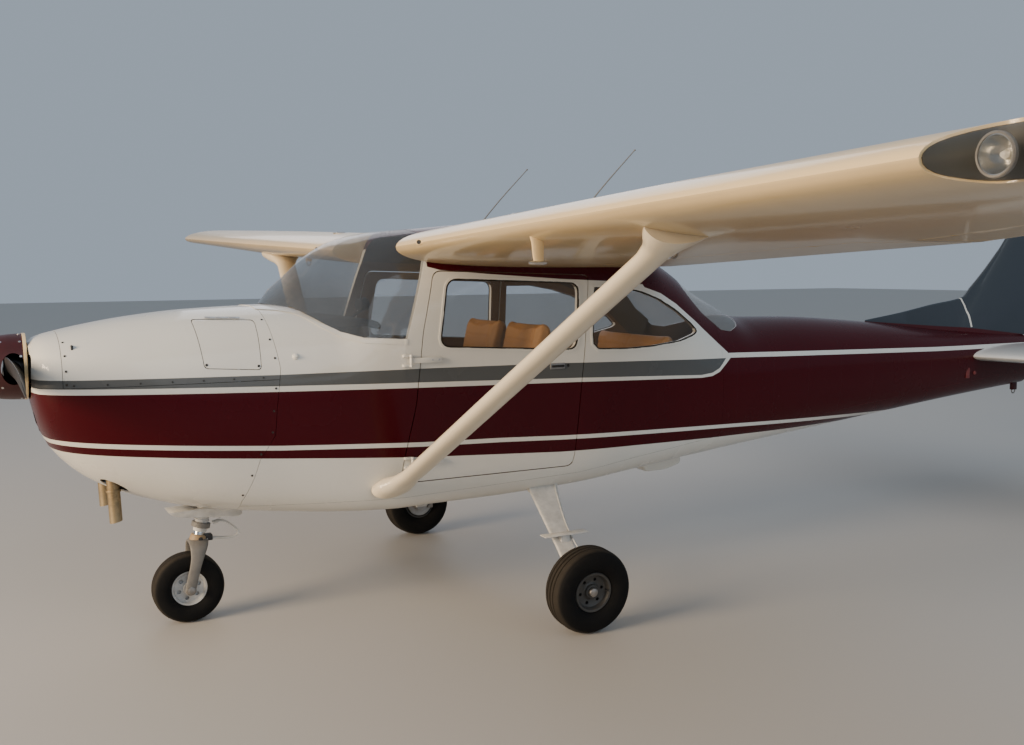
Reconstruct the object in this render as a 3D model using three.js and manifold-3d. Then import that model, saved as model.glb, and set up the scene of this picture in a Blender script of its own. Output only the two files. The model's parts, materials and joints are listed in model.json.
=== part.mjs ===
// A four-seat, high-wing light aircraft on a fixed tricycle undercarriage, in millimetres.
// Stations (x) run aft from the firewall, y runs to starboard, z up from the ground it parks on.
import * as THREE from 'three';
import { mergeVertices } from 'three/addons/utils/BufferGeometryUtils.js';
import Module from 'manifold-3d';

const wasm = await Module();
wasm.setup();

// Driving dimensions
const midStation = 2895.5; // station halfway between the spinner's tip and the rudder's trailing edge
const seam = 0.4; // gap between two pieces that touch
const hingeGap = 6; // gap beside a moving surface
const doorGap = 5;
const cabinWall = 30; // a whole wall or door, skin to trim
const glassWall = 5;
const cowlWall = 6;
const tailWall = 5;
const wingSkin = 12;
const finSkin = 3;

const paints = {
  white: material('#e9e4d6', 0.3),
  maroon: material('#4a0d14', 0.25),
  slate: material('#4a5056', 0.35),
  bareMetal: material('#b9bcc0', 0.35, 1),
  steel: material('#6d6f72', 0.45, 1),
  castMetal: material('#56575a', 0.6, 0.8),
  tyre: material('#171717', 0.85),
  leather: material('#a8662f', 0.6),
  trim: material('#8f8674', 0.8),
  panelPlastic: material('#232326', 0.7),
  glass: material('#c9d6da', 0.05, 0, 0.35),
};

function material(color, roughness, metalness = 0, opacity = 1) {
  return new THREE.MeshStandardMaterial({
    color,
    roughness,
    metalness,
    opacity,
    transparent: opacity < 1,
  });
}

const aircraft = new THREE.Group();
const airframe = new THREE.Group();
airframe.position.x = -midStation;
aircraft.add(airframe);

// Solids

function solidOf(geometry) {
  const plain = geometry.clone();
  plain.deleteAttribute('normal');
  plain.deleteAttribute('uv');
  const merged = mergeVertices(plain, 1e-3);
  const made = new wasm.Manifold(
    new wasm.Mesh({
      numProp: 3,
      vertProperties: merged.attributes.position.array,
      triVerts: new Uint32Array(merged.index.array),
    }),
  );
  if (made.volume() > 0) return made;
  const triVerts = new Uint32Array(merged.index.array);
  for (let i = 0; i < triVerts.length; i += 3) {
    [triVerts[i + 1], triVerts[i + 2]] = [triVerts[i + 2], triVerts[i + 1]];
  }
  return new wasm.Manifold(
    new wasm.Mesh({
      numProp: 3,
      vertProperties: merged.attributes.position.array,
      triVerts,
    }),
  );
}

function geometryOf(solid) {
  const mesh = solid.getMesh();
  const geometry = new THREE.BufferGeometry();
  geometry.setAttribute('position', new THREE.BufferAttribute(mesh.vertProperties, 3));
  geometry.setIndex(new THREE.BufferAttribute(mesh.triVerts, 1));
  return geometry;
}

function place(name, solid, paint) {
  const geometry = geometryOf(solid);
  geometry.computeVertexNormals();
  const mesh = new THREE.Mesh(geometry, paint);
  mesh.name = name;
  airframe.add(mesh);
}

// The same solid on the other side of the aircraft.
function mirrored(solid) {
  const geometry = geometryOf(solid);
  geometry.scale(1, -1, 1);
  return solidOf(geometry);
}

function moved(solid, x, y, z) {
  const geometry = geometryOf(solid);
  geometry.translate(x, y, z);
  return solidOf(geometry);
}

function joined(...solids) {
  return solids.reduce((whole, next) => whole.add(next));
}

// A solid turned about a point, so that what ran along one direction runs along another.
function swung(solid, point, from, to) {
  const turn = new THREE.Quaternion().setFromUnitVectors(from, to.clone().normalize());
  const geometry = geometryOf(solid);
  geometry.translate(-point.x, -point.y, -point.z);
  geometry.applyQuaternion(turn);
  geometry.translate(point.x, point.y, point.z);
  return solidOf(geometry);
}

function less(solid, ...cutters) {
  return cutters.reduce((whole, next) => whole.subtract(next), solid);
}

// The largest body of a solid, without the crumbs that a cut leaves.
function mainBody(solid) {
  const bodies = solid.decompose();
  return bodies.reduce((largest, next) => (next.volume() > largest.volume() ? next : largest));
}

function box(x0, x1, y0, y1, z0, z1) {
  const geometry = new THREE.BoxGeometry(x1 - x0, y1 - y0, z1 - z0);
  geometry.translate((x0 + x1) / 2, (y0 + y1) / 2, (z0 + z1) / 2);
  return solidOf(geometry);
}

// A round bar between two points, with a radius at each.
function rod(from, to, radius, endRadius = radius, sides = 16) {
  const a = new THREE.Vector3(...from);
  const b = new THREE.Vector3(...to);
  const geometry = new THREE.CylinderGeometry(endRadius, radius, a.distanceTo(b), sides);
  const along = b.clone().sub(a).normalize();
  const turn = new THREE.Quaternion().setFromUnitVectors(new THREE.Vector3(0, 1, 0), along);
  geometry.applyQuaternion(turn);
  geometry.translate((a.x + b.x) / 2, (a.y + b.y) / 2, (a.z + b.z) / 2);
  return solidOf(geometry);
}

// A turned body: [radius, distance along the axis] points, about an axis through a point.
function turned(profile, centre, axis, sides) {
  const points = profile.map(([radius, along]) => new THREE.Vector2(radius, along));
  const geometry = new THREE.LatheGeometry(points, sides);
  const along = new THREE.Vector3(...axis).normalize();
  const turn = new THREE.Quaternion().setFromUnitVectors(new THREE.Vector3(0, 1, 0), along);
  geometry.applyQuaternion(turn);
  geometry.translate(...centre);
  return solidOf(geometry);
}

function outlineShape(points) {
  return new THREE.Shape(points.map(([u, v]) => new THREE.Vector2(u, v)));
}

function extruded(points, depth) {
  return new THREE.ExtrudeGeometry(outlineShape(points), { depth, bevelEnabled: false });
}

// An outline in the side view (x, z), through the whole width from y0 to y1.
function sidePrism(points, y0 = -700, y1 = 700) {
  const geometry = extruded(points, y1 - y0);
  geometry.rotateX(Math.PI / 2);
  geometry.translate(0, y1, 0);
  return solidOf(geometry);
}

// An outline in the plan view (x, y), from z0 to z1.
function planPrism(points, z0, z1) {
  const geometry = extruded(points, z1 - z0);
  geometry.translate(0, 0, z0);
  return solidOf(geometry);
}

// An outline in the front view (y, z), from x0 to x1.
function frontPrism(points, x0, x1) {
  const geometry = extruded(points, x1 - x0);
  const basis = new THREE.Matrix4().makeBasis(
    new THREE.Vector3(0, 1, 0),
    new THREE.Vector3(0, 0, 1),
    new THREE.Vector3(1, 0, 0),
  );
  geometry.applyMatrix4(basis);
  geometry.translate(x0, 0, 0);
  return solidOf(geometry);
}

// The outline with its corners rounded to a radius, each by a short curve.
function rounded(points, radius, steps = 2) {
  const soft = [];
  points.forEach((corner, i) => {
    const here = new THREE.Vector2(...corner);
    const before = new THREE.Vector2(...points[(i + points.length - 1) % points.length]);
    const after = new THREE.Vector2(...points[(i + 1) % points.length]);
    const inSide = before.sub(here);
    const outSide = after.sub(here);
    const inReach = Math.min(radius, inSide.length() * 0.45);
    const outReach = Math.min(radius, outSide.length() * 0.45);
    const start = here.clone().add(inSide.setLength(inReach));
    const end = here.clone().add(outSide.setLength(outReach));
    const curve = new THREE.QuadraticBezierCurve(start, here, end);
    curve.getPoints(steps).forEach((p) => soft.push([p.x, p.y]));
  });
  return soft;
}

// An outline moved outwards by a distance, for the opening round a panel.
function grown(points, distance) {
  const area = THREE.ShapeUtils.area(points.map(([u, v]) => new THREE.Vector2(u, v)));
  const side = Math.sign(area) * distance;
  return points.map((corner, i) => {
    const here = new THREE.Vector2(...corner);
    const before = new THREE.Vector2(...points[(i + points.length - 1) % points.length]);
    const after = new THREE.Vector2(...points[(i + 1) % points.length]);
    const inWay = here.clone().sub(before).normalize();
    const outWay = after.clone().sub(here).normalize();
    const inNormal = new THREE.Vector2(inWay.y, -inWay.x);
    const outNormal = new THREE.Vector2(outWay.y, -outWay.x);
    const bisector = inNormal.clone().add(outNormal);
    const reach = (2 * side) / bisector.lengthSq();
    return [here.x + bisector.x * reach, here.y + bisector.y * reach];
  });
}

// A skin over a row of rings with the same number of points, closed by a flat face at each end.
function loft(rings) {
  const count = rings[0].length;
  const positions = rings.flat().flatMap((p) => [p.x, p.y, p.z]);
  const index = [];
  for (let r = 0; r < rings.length - 1; r += 1) {
    for (let k = 0; k < count; k += 1) {
      const a = r * count + k;
      const b = r * count + ((k + 1) % count);
      const width = positions[3 * a + 1] + positions[3 * b + 1];
      // The diagonal changes with the side, so that port and starboard match.
      if (width >= 0) index.push(a, b, a + count, b, b + count, a + count);
      else index.push(a, b, b + count, a, b + count, a + count);
    }
  }
  const capOf = (ring) => {
    const normal = new THREE.Vector3();
    ring.forEach((p, i) => {
      const q = ring[(i + 1) % count];
      normal.x += (p.y - q.y) * (p.z + q.z);
      normal.y += (p.z - q.z) * (p.x + q.x);
      normal.z += (p.x - q.x) * (p.y + q.y);
    });
    normal.normalize();
    const across = new THREE.Vector3(0, 0, 1).cross(normal);
    if (across.lengthSq() < 0.01) across.set(1, 0, 0);
    across.normalize();
    const up = normal.clone().cross(across);
    const flat = ring.map((p) => new THREE.Vector2(p.dot(across), p.dot(up)));
    return THREE.ShapeUtils.triangulateShape(flat, []);
  };
  capOf(rings[0]).forEach(([a, b, c]) => index.push(a, c, b));
  const last = (rings.length - 1) * count;
  capOf(rings[rings.length - 1]).forEach(([a, b, c]) => index.push(last + a, last + b, last + c));
  const geometry = new THREE.BufferGeometry();
  geometry.setAttribute('position', new THREE.Float32BufferAttribute(positions, 3));
  geometry.setIndex(index);
  return solidOf(geometry);
}

// Body of the aircraft. Each section is a squared-off oval: its station, half width, lowest,
// widest and highest heights, and how square it is below and above.

const cowlSections = [
  [-862, 265, 1165, 1310, 1428, 2.2, 2.2],
  [-835, 335, 1035, 1290, 1452, 2.2, 2.3],
  [-750, 392, 890, 1265, 1477, 2.2, 2.4],
  [-600, 432, 762, 1220, 1509, 2.3, 2.5],
  [-400, 462, 672, 1160, 1541, 2.5, 2.6],
  [-150, 486, 605, 1095, 1566, 2.9, 2.8],
  [160, 500, 560, 1050, 1578, 3.4, 3],
];
const deckSections = [
  [160, 500, 560, 1050, 1578, 3.4, 3],
  [500, 522, 535, 1050, 1581, 4.6, 3.2],
  [600, 527, 532, 1050, 1581, 5.2, 4],
  [800, 535, 530, 1050, 1581, 6, 6],
];
const cabinSections = [
  [800, 535, 530, 1050, 1950, 6, 3.5],
  [1000, 535, 535, 1050, 1966, 6, 5.5],
  [1300, 535, 538, 1050, 1990, 6, 8],
  [1800, 535, 558, 1050, 1965, 6, 8],
  [2200, 510, 583, 1070, 1900, 5, 6],
  [2450, 485, 599, 1080, 1810, 4.5, 3.6],
  [2640, 468, 612, 1090, 1724, 4, 2.6],
  [2760, 455, 620, 1095, 1655, 3.9, 2.2],
  [2960, 434, 634, 1100, 1553, 3.6, 1.95],
  [3200, 410, 651, 1105, 1446, 3.4, 2],
];
const tailSections = [
  [3200, 410, 651, 1105, 1446, 3.4, 2],
  [3700, 355, 686, 1105, 1430, 3, 2.1],
  [4300, 292, 732, 1100, 1385, 2.6, 2.1],
  [5200, 197, 808, 1085, 1292, 2.4, 2],
  [5900, 122, 860, 1065, 1250, 2.2, 2],
  [6020, 106, 869, 1060, 1240, 2.2, 2],
];
const domeSections = [
  [228, 240, 1300, 1400, 1585, 2, 2],
  [300, 366, 1300, 1400, 1670, 2, 2.2],
  [340, 388, 1300, 1380, 1705, 2, 2.2],
  [500, 450, 1250, 1330, 1845, 2, 2.2],
  [600, 504, 1250, 1300, 1900, 2, 2.4],
  [700, 522, 1250, 1200, 1930, 2, 2.9],
  [800, 535, 1250, 1050, 1950, 6, 3.5],
];
const skinPoints = 24;
const liningPoints = 16;

function hullRing([x, half, low, mid, high, squareLow, squareHigh], inset, count) {
  const ring = [];
  for (let k = 0; k < count; k += 1) {
    const angle = (k / count) * 2 * Math.PI;
    const above = Math.sin(angle) >= 0;
    const power = 2 / (above ? squareHigh : squareLow);
    const reach = above ? high - inset - mid : mid - low - inset;
    const across = Math.sign(Math.cos(angle)) * Math.abs(Math.cos(angle)) ** power;
    const upward = Math.sign(Math.sin(angle)) * Math.abs(Math.sin(angle)) ** power;
    ring.push(new THREE.Vector3(x, (half - inset) * across, mid + reach * upward));
  }
  return ring;
}

function sectionLoft(sections, inset, count) {
  return loft(sections.map((section) => hullRing(section, inset, count)));
}

// The bubble over the front seats, whose lower half is inside the deck below it.
function domeRing([x, half, low, mid, high, , squareHigh], inset, count) {
  const ring = [];
  const arcPoints = count / 2;
  for (let k = 0; k <= arcPoints; k += 1) {
    const angle = (k / arcPoints) * Math.PI;
    const across = Math.sign(Math.cos(angle)) * Math.abs(Math.cos(angle)) ** (2 / squareHigh);
    const upward = Math.abs(Math.sin(angle)) ** (2 / squareHigh);
    const y = (half - inset) * (k === 0 ? 1 : k === arcPoints ? -1 : across);
    ring.push(new THREE.Vector3(x, y, mid + (high - inset - mid) * (k % arcPoints ? upward : 0)));
  }
  const foot = Math.min(low, mid) - 60;
  ring.push(new THREE.Vector3(x, -(half - inset) + 1, foot));
  ring.push(new THREE.Vector3(x, half - inset - 1, foot));
  return ring;
}

function hull(inset, count = liningPoints) {
  const front = sectionLoft([...cowlSections, ...deckSections.slice(1)], inset, count);
  const aft = sectionLoft([...cabinSections, ...tailSections.slice(1)], inset, count);
  const dome = loft(domeSections.map((section) => domeRing(section, inset, count)));
  return joined(front, aft, dome);
}

const hullOuter = hull(0, skinPoints);
const hullUnderCowl = hull(cowlWall + seam);
const hullCowlInner = hull(cowlWall);
const hullGlassInner = hull(glassWall, skinPoints);
const hullTailInner = hull(tailWall);
const hullInner = hull(cabinWall);

// The hull's half width at a station, on its widest line.
function hullHalfWidth(x) {
  const all = [...cowlSections, ...deckSections.slice(1), ...cabinSections.slice(1), ...tailSections.slice(1)];
  const next = all.findIndex((section) => section[0] >= x);
  const [x0, half0] = all[next - 1];
  const [x1, half1] = all[next];
  return half0 + ((half1 - half0) * (x - x0)) / (x1 - x0);
}

// Lines that part the panels, in the side view
const cowlSeamLine = [
  [168, 2300],
  [160, 1545],
  [193, 1295],
  [168, 1113],
  [157, 986],
  [83, 870],
  [57, 783],
  [16, 664],
  [16, 400],
];
const firewallAft = 8;
const tailJoint = 2830;
const floorLine = [
  [-100, 630],
  [800, 620],
  [1800, 655],
  [2200, 700],
  [2900, 765],
];
const roofLine = [
  [930, 1800],
  [2200, 1745],
  [2208, 1672],
  [2445, 1574],
  [2585, 1459],
  [2781, 1280],
  [2818, 1238],
  [tailJoint, 1215],
];
const windshieldLine = [
  [150, 1592],
  [234, 1586],
  [300, 1574],
  [345, 1552],
  [420, 1500],
  [500, 1453],
  [600, 1425],
  [812, 1411],
  [926, 1800],
  [966, 2100],
  [150, 2100],
];
const rearWindowLine = [
  [2640, 1800],
  [2612, 1640],
  [2640, 1588],
  [2727, 1494],
  [2876, 1384],
  [2960, 1372],
  [3060, 1400],
  [3168, 1470],
  [3168, 1800],
];
const doorLine = [
  [966, 1744],
  [897, 1440],
  [873, 1235],
  [854, 1081],
  [780, 793],
  [772, 702],
  [1745, 702],
  [1762, 767],
  [1822, 1320],
  [1846, 1716],
];
const doorWindowLine = [
  [1032, 1704],
  [985, 1372],
  [1772, 1326],
  [1784, 1676],
];
const quarterWindowLine = [
  [1884, 1640],
  [1876, 1344],
  [2050, 1322],
  [2340, 1326],
  [2616, 1380],
  [2470, 1512],
  [2230, 1622],
];

function aftOfSeam(shift) {
  const line = cowlSeamLine.map(([x, z]) => [x + shift, z]);
  return sidePrism([...line, [7000, 400], [7000, 2300]]);
}

// Cowl, firewall and engine

const propAxisHeight = 1320;

function ellipseOutline(centreY, centreZ, halfWidth, halfHeight, count = 14) {
  return Array.from({ length: count }, (_, k) => {
    const angle = (k / count) * 2 * Math.PI;
    return [centreY + halfWidth * Math.cos(angle), centreZ + halfHeight * Math.sin(angle)];
  });
}

function addCowl() {
  const splitHeight = 1245; // upper and lower cowl meet under the grey band
  const capStation = -742;
  const skin = less(hullOuter, hullCowlInner, aftOfSeam(-2), box(160, 7000, -700, 700, 400, 2200));
  const intakes = [-1, 1].map((side) =>
    frontPrism(ellipseOutline(side * 205, 1322, 62, 66), -900, -700),
  );
  const spinnerHole = frontPrism(ellipseOutline(0, propAxisHeight, 110, 110, 16), -900, -780);
  const lowerIntake = frontPrism(rounded([[-95, 1020], [95, 1020], [95, 1105], [-95, 1105]], 40), -900, -700);
  const stackHoles = [-1, 1].map((side) =>
    planPrism(ellipseOutline(-530, side * 205, 62, 46), 500, 900),
  );
  const legHole = planPrism(ellipseOutline(-85, 0, 105, 62), 400, 700);
  const cut = less(skin, ...intakes, spinnerHole, lowerIntake, ...stackHoles, legHole);
  const upper = box(-1000, 400, -700, 700, splitHeight + seam, 2000);
  const front = box(-1000, capStation, -700, 700, 400, 2000);
  const oilDoor = oilDoorPanel(doorGap);
  const cowlTop = less(cut.intersect(upper), front, oilDoor);
  const cap = cut.intersect(upper).intersect(box(-1000, capStation - seam, -700, 700, 400, 2000));
  const cowlBottom = less(cut, box(-1000, 400, -700, 700, splitHeight, 2000));
  place('cowl_nose_cap', mainBody(cap), paints.white);
  place('cowl_upper', joined(mainBody(cowlTop), oilDoorHingeLug()), paints.white);
  place('cowl_lower', mainBody(cowlBottom), paints.white);
}

// The oil filler's door, on the left of the upper cowl and hinged along its top edge.
const oilDoorLine = [
  [-172, 1526],
  [-150, 1312],
  [102, 1296],
  [108, 1518],
];

function oilDoorPanel(grow) {
  return sidePrism(rounded(grown(oilDoorLine, grow), 18, 2), -700, -150);
}

// Its hinge follows the cowl's top edge, so it runs a little outwards and down towards the tail.
const oilDoorHinge = {
  middle: new THREE.Vector3(-32, -302.3, 1533.6),
  line: new THREE.Vector3(280, -46.6, -7.6),
  radius: 5,
  sweep: 36,
};
const lengthwise = new THREE.Vector3(1, 0, 0);

function alongOilHinge(solid) {
  return swung(solid, oilDoorHinge.middle, lengthwise, oilDoorHinge.line);
}

function oilDoorHingeLug() {
  const { middle, radius } = oilDoorHinge;
  const { x, y, z } = middle;
  const lug = (x0, x1) =>
    joined(rod([x + x0, y, z], [x + x1, y, z], radius, radius, 8), box(x + x0, x + x1, y, y + 32, z - 4, z + 1));
  return alongOilHinge(joined(lug(-80, -30), lug(30, 80)));
}

// Room under the cowl behind the door, and for its top edge as it swings.
function oilDoorRoom() {
  const { middle, sweep } = oilDoorHinge;
  const { x, y, z } = middle;
  const turning = rod([x - 155, y, z], [x + 155, y, z], sweep, sweep, 12);
  const behind = less(oilDoorPanel(8), hull(cowlWall + 6));
  return joined(alongOilHinge(turning), behind);
}

function addOilDoor() {
  const { middle, radius } = oilDoorHinge;
  const { x, y, z } = middle;
  const leaf = less(hullOuter, hullCowlInner).intersect(oilDoorPanel(0));
  const barrel = rod([x - 30 + seam, y, z], [x + 30 - seam, y, z], radius, radius, 8);
  const tab = box(x - 30 + seam, x + 30 - seam, y - 6, y + 2, z - 18, z);
  place('oil_door', mainBody(joined(leaf, alongOilHinge(joined(barrel, tab)))), paints.white);
}

function addFirewallAndEngine() {
  const sheet = hullUnderCowl.intersect(box(0, firewallAft - seam, -700, 700, 400, 2000));
  place('firewall', less(sheet, oilDoorRoom()), paints.bareMetal);
  const block = frontPrism(
    [[-385, 1150], [385, 1150], [385, 1265], [250, 1400], [-250, 1400], [-385, 1265]],
    -650,
    -110,
  );
  const sump = box(-620, -200, -140, 140, 960, 1160);
  const shaft = rod([-845, 0, propAxisHeight], [-640, 0, propAxisHeight], 62, 62, 16);
  const bearers = [[-110, 1080], [110, 1080], [-180, 1340], [180, 1340]].map(([y, z]) =>
    rod([-seam, y, z], [-230, y, z], 24, 24, 8),
  );
  place('engine_block', joined(block, sump, shaft, ...bearers), paints.castMetal);
}

function addExhaust(name, side) {
  const tail = rod([-545, side * 205, 980], [-528, side * 205, 575], 29, 29, 12);
  const bore = rod([-545, side * 205, 960], [-527, side * 205, 560], 26, 26, 12);
  const bevel = sidePrism([[-620, 620], [-450, 560], [-450, 520], [-620, 520]], -400, 400);
  const flange = box(-575, -505, side * 205 - 45, side * 205 + 45, 980, 992);
  const riser = rod([-540, side * 150, 1150 - seam - 8], [-545, side * 205, 985], 24, 24, 10);
  const toBlock = less(riser, box(-700, -100, -395, 395, 1150 - seam, 1400), box(-620, -200, -140 - seam, 140 + seam, 900, 1160));
  place(name, mainBody(joined(less(tail, bevel, bore), flange, toBlock)), paints.steel);
}

// Propeller and spinner, parked with the blades level

const propFace = -920;
const propTip = 965;

function addPropeller() {
  const hub = rod([-965, 0, propAxisHeight], [-845 - seam, 0, propAxisHeight], 70, 70, 16);
  const bladeStations = [
    [60, 40, 70, 38],
    [180, 66, 46, 32],
    [400, 78, 26, 24],
    [780, 66, 13, 16],
    [930, 46, 7, 13],
    [propTip, 18, 4, 12],
  ];
  const blade = (side) =>
    loft(
      bladeStations.map(([span, halfChord, halfThick, pitch]) => {
        const ring = [];
        for (let k = 0; k < 10; k += 1) {
          const angle = (k / 10) * 2 * Math.PI;
          const u = halfChord * Math.cos(angle);
          const v = halfThick * 0.5 * Math.sin(angle);
          const turn = (pitch * Math.PI) / 180;
          const x = propFace - 5 + side * (u * Math.sin(turn)) + v * Math.cos(turn);
          const z = propAxisHeight + u * Math.cos(turn) - side * v * Math.sin(turn);
          ring.push(new THREE.Vector3(x, side * span, z));
        }
        return ring;
      }),
    );
  place('propeller_blades', joined(hub, blade(-1), blade(1)), paints.steel);
}

const spinnerProfile = [
  [152, 0],
  [150, 75],
  [136, 155],
  [104, 232],
  [56, 290],
  [0, 312],
];

function addSpinner() {
  const base = [-868, 0, propAxisHeight];
  const forward = [-1, 0, 0];
  const inside = spinnerProfile.map(([radius, along]) => [Math.max(radius - 4, 0), Math.max(along - 4, 0)]);
  const outside = turned([[0, 0], ...spinnerProfile], base, forward, 20);
  const hollow = turned([[0, 4], [148, 4], ...inside.slice(1)], base, forward, 20);
  const hubHole = rod([-890, 0, propAxisHeight], [-800, 0, propAxisHeight], 70 + seam, 70 + seam, 16);
  const slots = [-1, 1].map((side) =>
    box(-975, -876, side > 0 ? 60 : -180, side > 0 ? 180 : -60, propAxisHeight - 74, propAxisHeight + 74),
  );
  place('spinner', mainBody(less(outside, hollow, hubHole, ...slots)), paints.maroon);
}

// Fuselage panels

function prismBelow(line, bottom) {
  return sidePrism([...line, [line[line.length - 1][0], bottom], [line[0][0], bottom]]);
}

function fuselageShell() {
  const skin = less(hullOuter, hullInner).intersect(aftOfSeam(0));
  const lap = less(hullUnderCowl, hullInner).intersect(box(firewallAft, 260, -700, 700, 400, 2000));
  return joined(skin, less(lap, oilDoorRoom()));
}

function addFuselage() {
  const shell = fuselageShell();
  const windshieldHole = sidePrism(windshieldLine);
  const rearHole = sidePrism(rearWindowLine);
  const ahead = box(-200, tailJoint - seam, -700, 700, 300, 2200);
  const floorZone = prismBelow(floorLine, 300);
  const belowFloorSeam = prismBelow(floorLine.map(([x, z]) => [x, z + seam]), 300);
  const floorPan = mainBody(shell.intersect(floorZone).intersect(ahead));
  const fairing = mainBody(bellyFairing());
  place('cabin_floor_pan', joined(floorPan, fairing.intersect(ahead)), paints.white);

  const deckBack = 812;
  const deckHeight = 1400;
  const deckZone = sidePrism([[-100, deckHeight], [deckBack, deckHeight], [deckBack, 1700], [-100, 1700]]);
  const deck = less(shell, windshieldHole).intersect(deckZone);
  place('windscreen_deck', mainBody(deck), paints.white);
  const deckClear = sidePrism([
    [-100, deckHeight - seam],
    [deckBack + seam, deckHeight - seam],
    [deckBack + seam, 1560],
    [330, 1700],
    [-100, 1700],
  ]);

  const sideTop = [[-200, 1800], [170, 1800], ...roofLine];
  const sideZone = sidePrism([...sideTop, [tailJoint, 300], [-200, 300]]);
  const sideWhole = less(
    shell.intersect(sideZone).intersect(ahead),
    belowFloorSeam,
    deckClear,
    windshieldHole,
    rearHole,
  );
  const doorHole = sidePrism(rounded(grown(doorLine, doorGap), 42));
  const quarterHole = sidePrism(rounded(quarterWindowLine, 45));
  const sideOpen = less(sideWhole, doorHole, quarterHole);
  const right = mainBody(sideOpen.intersect(box(-200, 3000, seam / 2, 700, 300, 2200)));
  const rightHinged = joined(right, ...doorHingeLugs());
  place('cabin_side_right', rightHinged, paints.white);
  place('cabin_side_left', less(mirrored(rightHinged), oilDoorRoom()), paints.white);

  const roofTop = roofLine.map(([x, z]) => [x, z + seam]);
  const roofZone = sidePrism([[800, 1800 + seam], ...roofTop, [tailJoint, 2200], [800, 2200]]);
  const roof = less(shell.intersect(roofZone).intersect(ahead), windshieldHole, rearHole, doorHole, quarterHole);
  place('cabin_roof', mainBody(roof), paints.maroon);

  const glass = less(hullOuter, hullGlassInner);
  const windshield = glass.intersect(sidePrism(grown(windshieldLine, -seam)));
  place('windshield', mainBody(windshield), paints.glass);
  place('rear_window', mainBody(glass.intersect(sidePrism(grown(rearWindowLine, -seam)))), paints.glass);
  const quarterGlass = glass.intersect(sidePrism(grown(rounded(quarterWindowLine, 45), -seam), 0, 700));
  place('quarter_glass_right', mainBody(quarterGlass), paints.glass);
  place('quarter_glass_left', mainBody(mirrored(quarterGlass)), paints.glass);

  const tailShell = less(hullOuter, hullTailInner.intersect(box(tailJoint - 5, 6008, -700, 700, 300, 2200)));
  const tail = less(tailShell.intersect(box(tailJoint, 6100, -700, 700, 300, 2200)), rearHole);
  place('tailcone', joined(mainBody(tail), ...tailconeFittings()), paints.maroon);
}

// Doors hang on two strap hinges outside the skin, on an upright axis.

const doorHinge = { x: 822, y: 549, radius: 8 };
const hingeHeights = [800, 1308];

function doorHingeLugs() {
  const { x, y, radius } = doorHinge;
  return hingeHeights.flatMap((z) =>
    [-1, 1].map((side) => {
      const middle = z + side * 25;
      const barrel = rod([x, y, middle - 9], [x, y, middle + 9], radius, radius, 8);
      const skin = hullHalfWidth(x);
      const arm = box(x - 95, x, skin + 2.5, y + 3, middle - 9, middle + 9);
      const foot = box(x - 95, x - 52, hullHalfWidth(x - 95) - 10, y + 3, middle - 9, middle + 9);
      return joined(barrel, arm, foot);
    }),
  );
}

function doorStraps() {
  const { x, y, radius } = doorHinge;
  return hingeHeights.map((z) => {
    const halfHeight = 16 - seam;
    const barrel = rod([x, y, z - halfHeight], [x, y, z + halfHeight], radius, radius, 8);
    const strap = box(x, x + 165, y - 5, y + 3, z - halfHeight, z + halfHeight);
    const foot = box(x + 95, x + 165, 525, y + 3, z - halfHeight, z + halfHeight);
    return joined(barrel, strap, foot);
  });
}

function addDoors() {
  const outline = rounded(doorLine, 40);
  const leaf = less(hullOuter, hullInner).intersect(sidePrism(outline, 0, 700));
  const windowHole = sidePrism(rounded(doorWindowLine, 55), 0, 700);
  const panel = less(leaf, windowHole);
  const whole = mainBody(joined(panel, ...doorStraps()));
  const glass = less(hullOuter, hullGlassInner);
  const pane = mainBody(glass.intersect(sidePrism(grown(rounded(doorWindowLine, 55), -seam), 0, 700)));
  place('door_right', whole, paints.white);
  place('door_left', mirrored(whole), paints.white);
  place('door_glass_right', pane, paints.glass);
  place('door_glass_left', mirrored(pane), paints.glass);
}

// Wing: a cambered section, 12% thick, whose chord is constant to the strut and tapers outboard.

const wingRoot = 500;
const wingBreak = 2540;
const wingTip = 5510;
const rootChord = 1626;
const tipChord = 1130;
const leadingRoot = 770;
const leadingTip = 845;
const leadingHeight = 1865;
const riseOut = 0.0415;
const rootIncidence = 3.5;
const tipIncidence = 0.5;

function sectionHalfThickness(u, thickness) {
  const root = 0.2969 * Math.sqrt(u);
  return 5 * thickness * (root - 0.126 * u - 0.3516 * u ** 2 + 0.2843 * u ** 3 - 0.1015 * u ** 4);
}

function sectionCamber(u) {
  const camber = 0.02;
  const peak = 0.4;
  if (u < peak) return (camber / peak ** 2) * (2 * peak * u - u ** 2);
  return (camber / (1 - peak) ** 2) * (1 - 2 * peak + 2 * peak * u - u ** 2);
}

function wingStation(y) {
  const out = Math.max(0, (y - wingBreak) / (wingTip - 110 - wingBreak));
  const chord = rootChord + (tipChord - rootChord) * Math.min(out, 1.03);
  const incidence = rootIncidence + (tipIncidence - rootIncidence) * Math.min(out, 1);
  return {
    chord,
    x: leadingRoot + (leadingTip - leadingRoot) * out,
    z: leadingHeight + (y - 550) * riseOut,
    angle: (incidence * Math.PI) / 180,
  };
}

// A point of the wing: span y, chord fraction u and height v as a fraction of the chord.
function wingPoint(y, u, v) {
  const { chord, x, z, angle } = wingStation(y);
  const along = u * chord;
  const up = v * chord;
  return new THREE.Vector3(
    x + along * Math.cos(angle) + up * Math.sin(angle),
    y,
    z - along * Math.sin(angle) + up * Math.cos(angle),
  );
}

function chordSteps(count, from = 0, to = 1) {
  return Array.from({ length: count + 1 }, (_, k) => {
    const spread = 0.5 - 0.5 * Math.cos((Math.PI * k) / count);
    return from + (to - from) * spread;
  });
}

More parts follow.
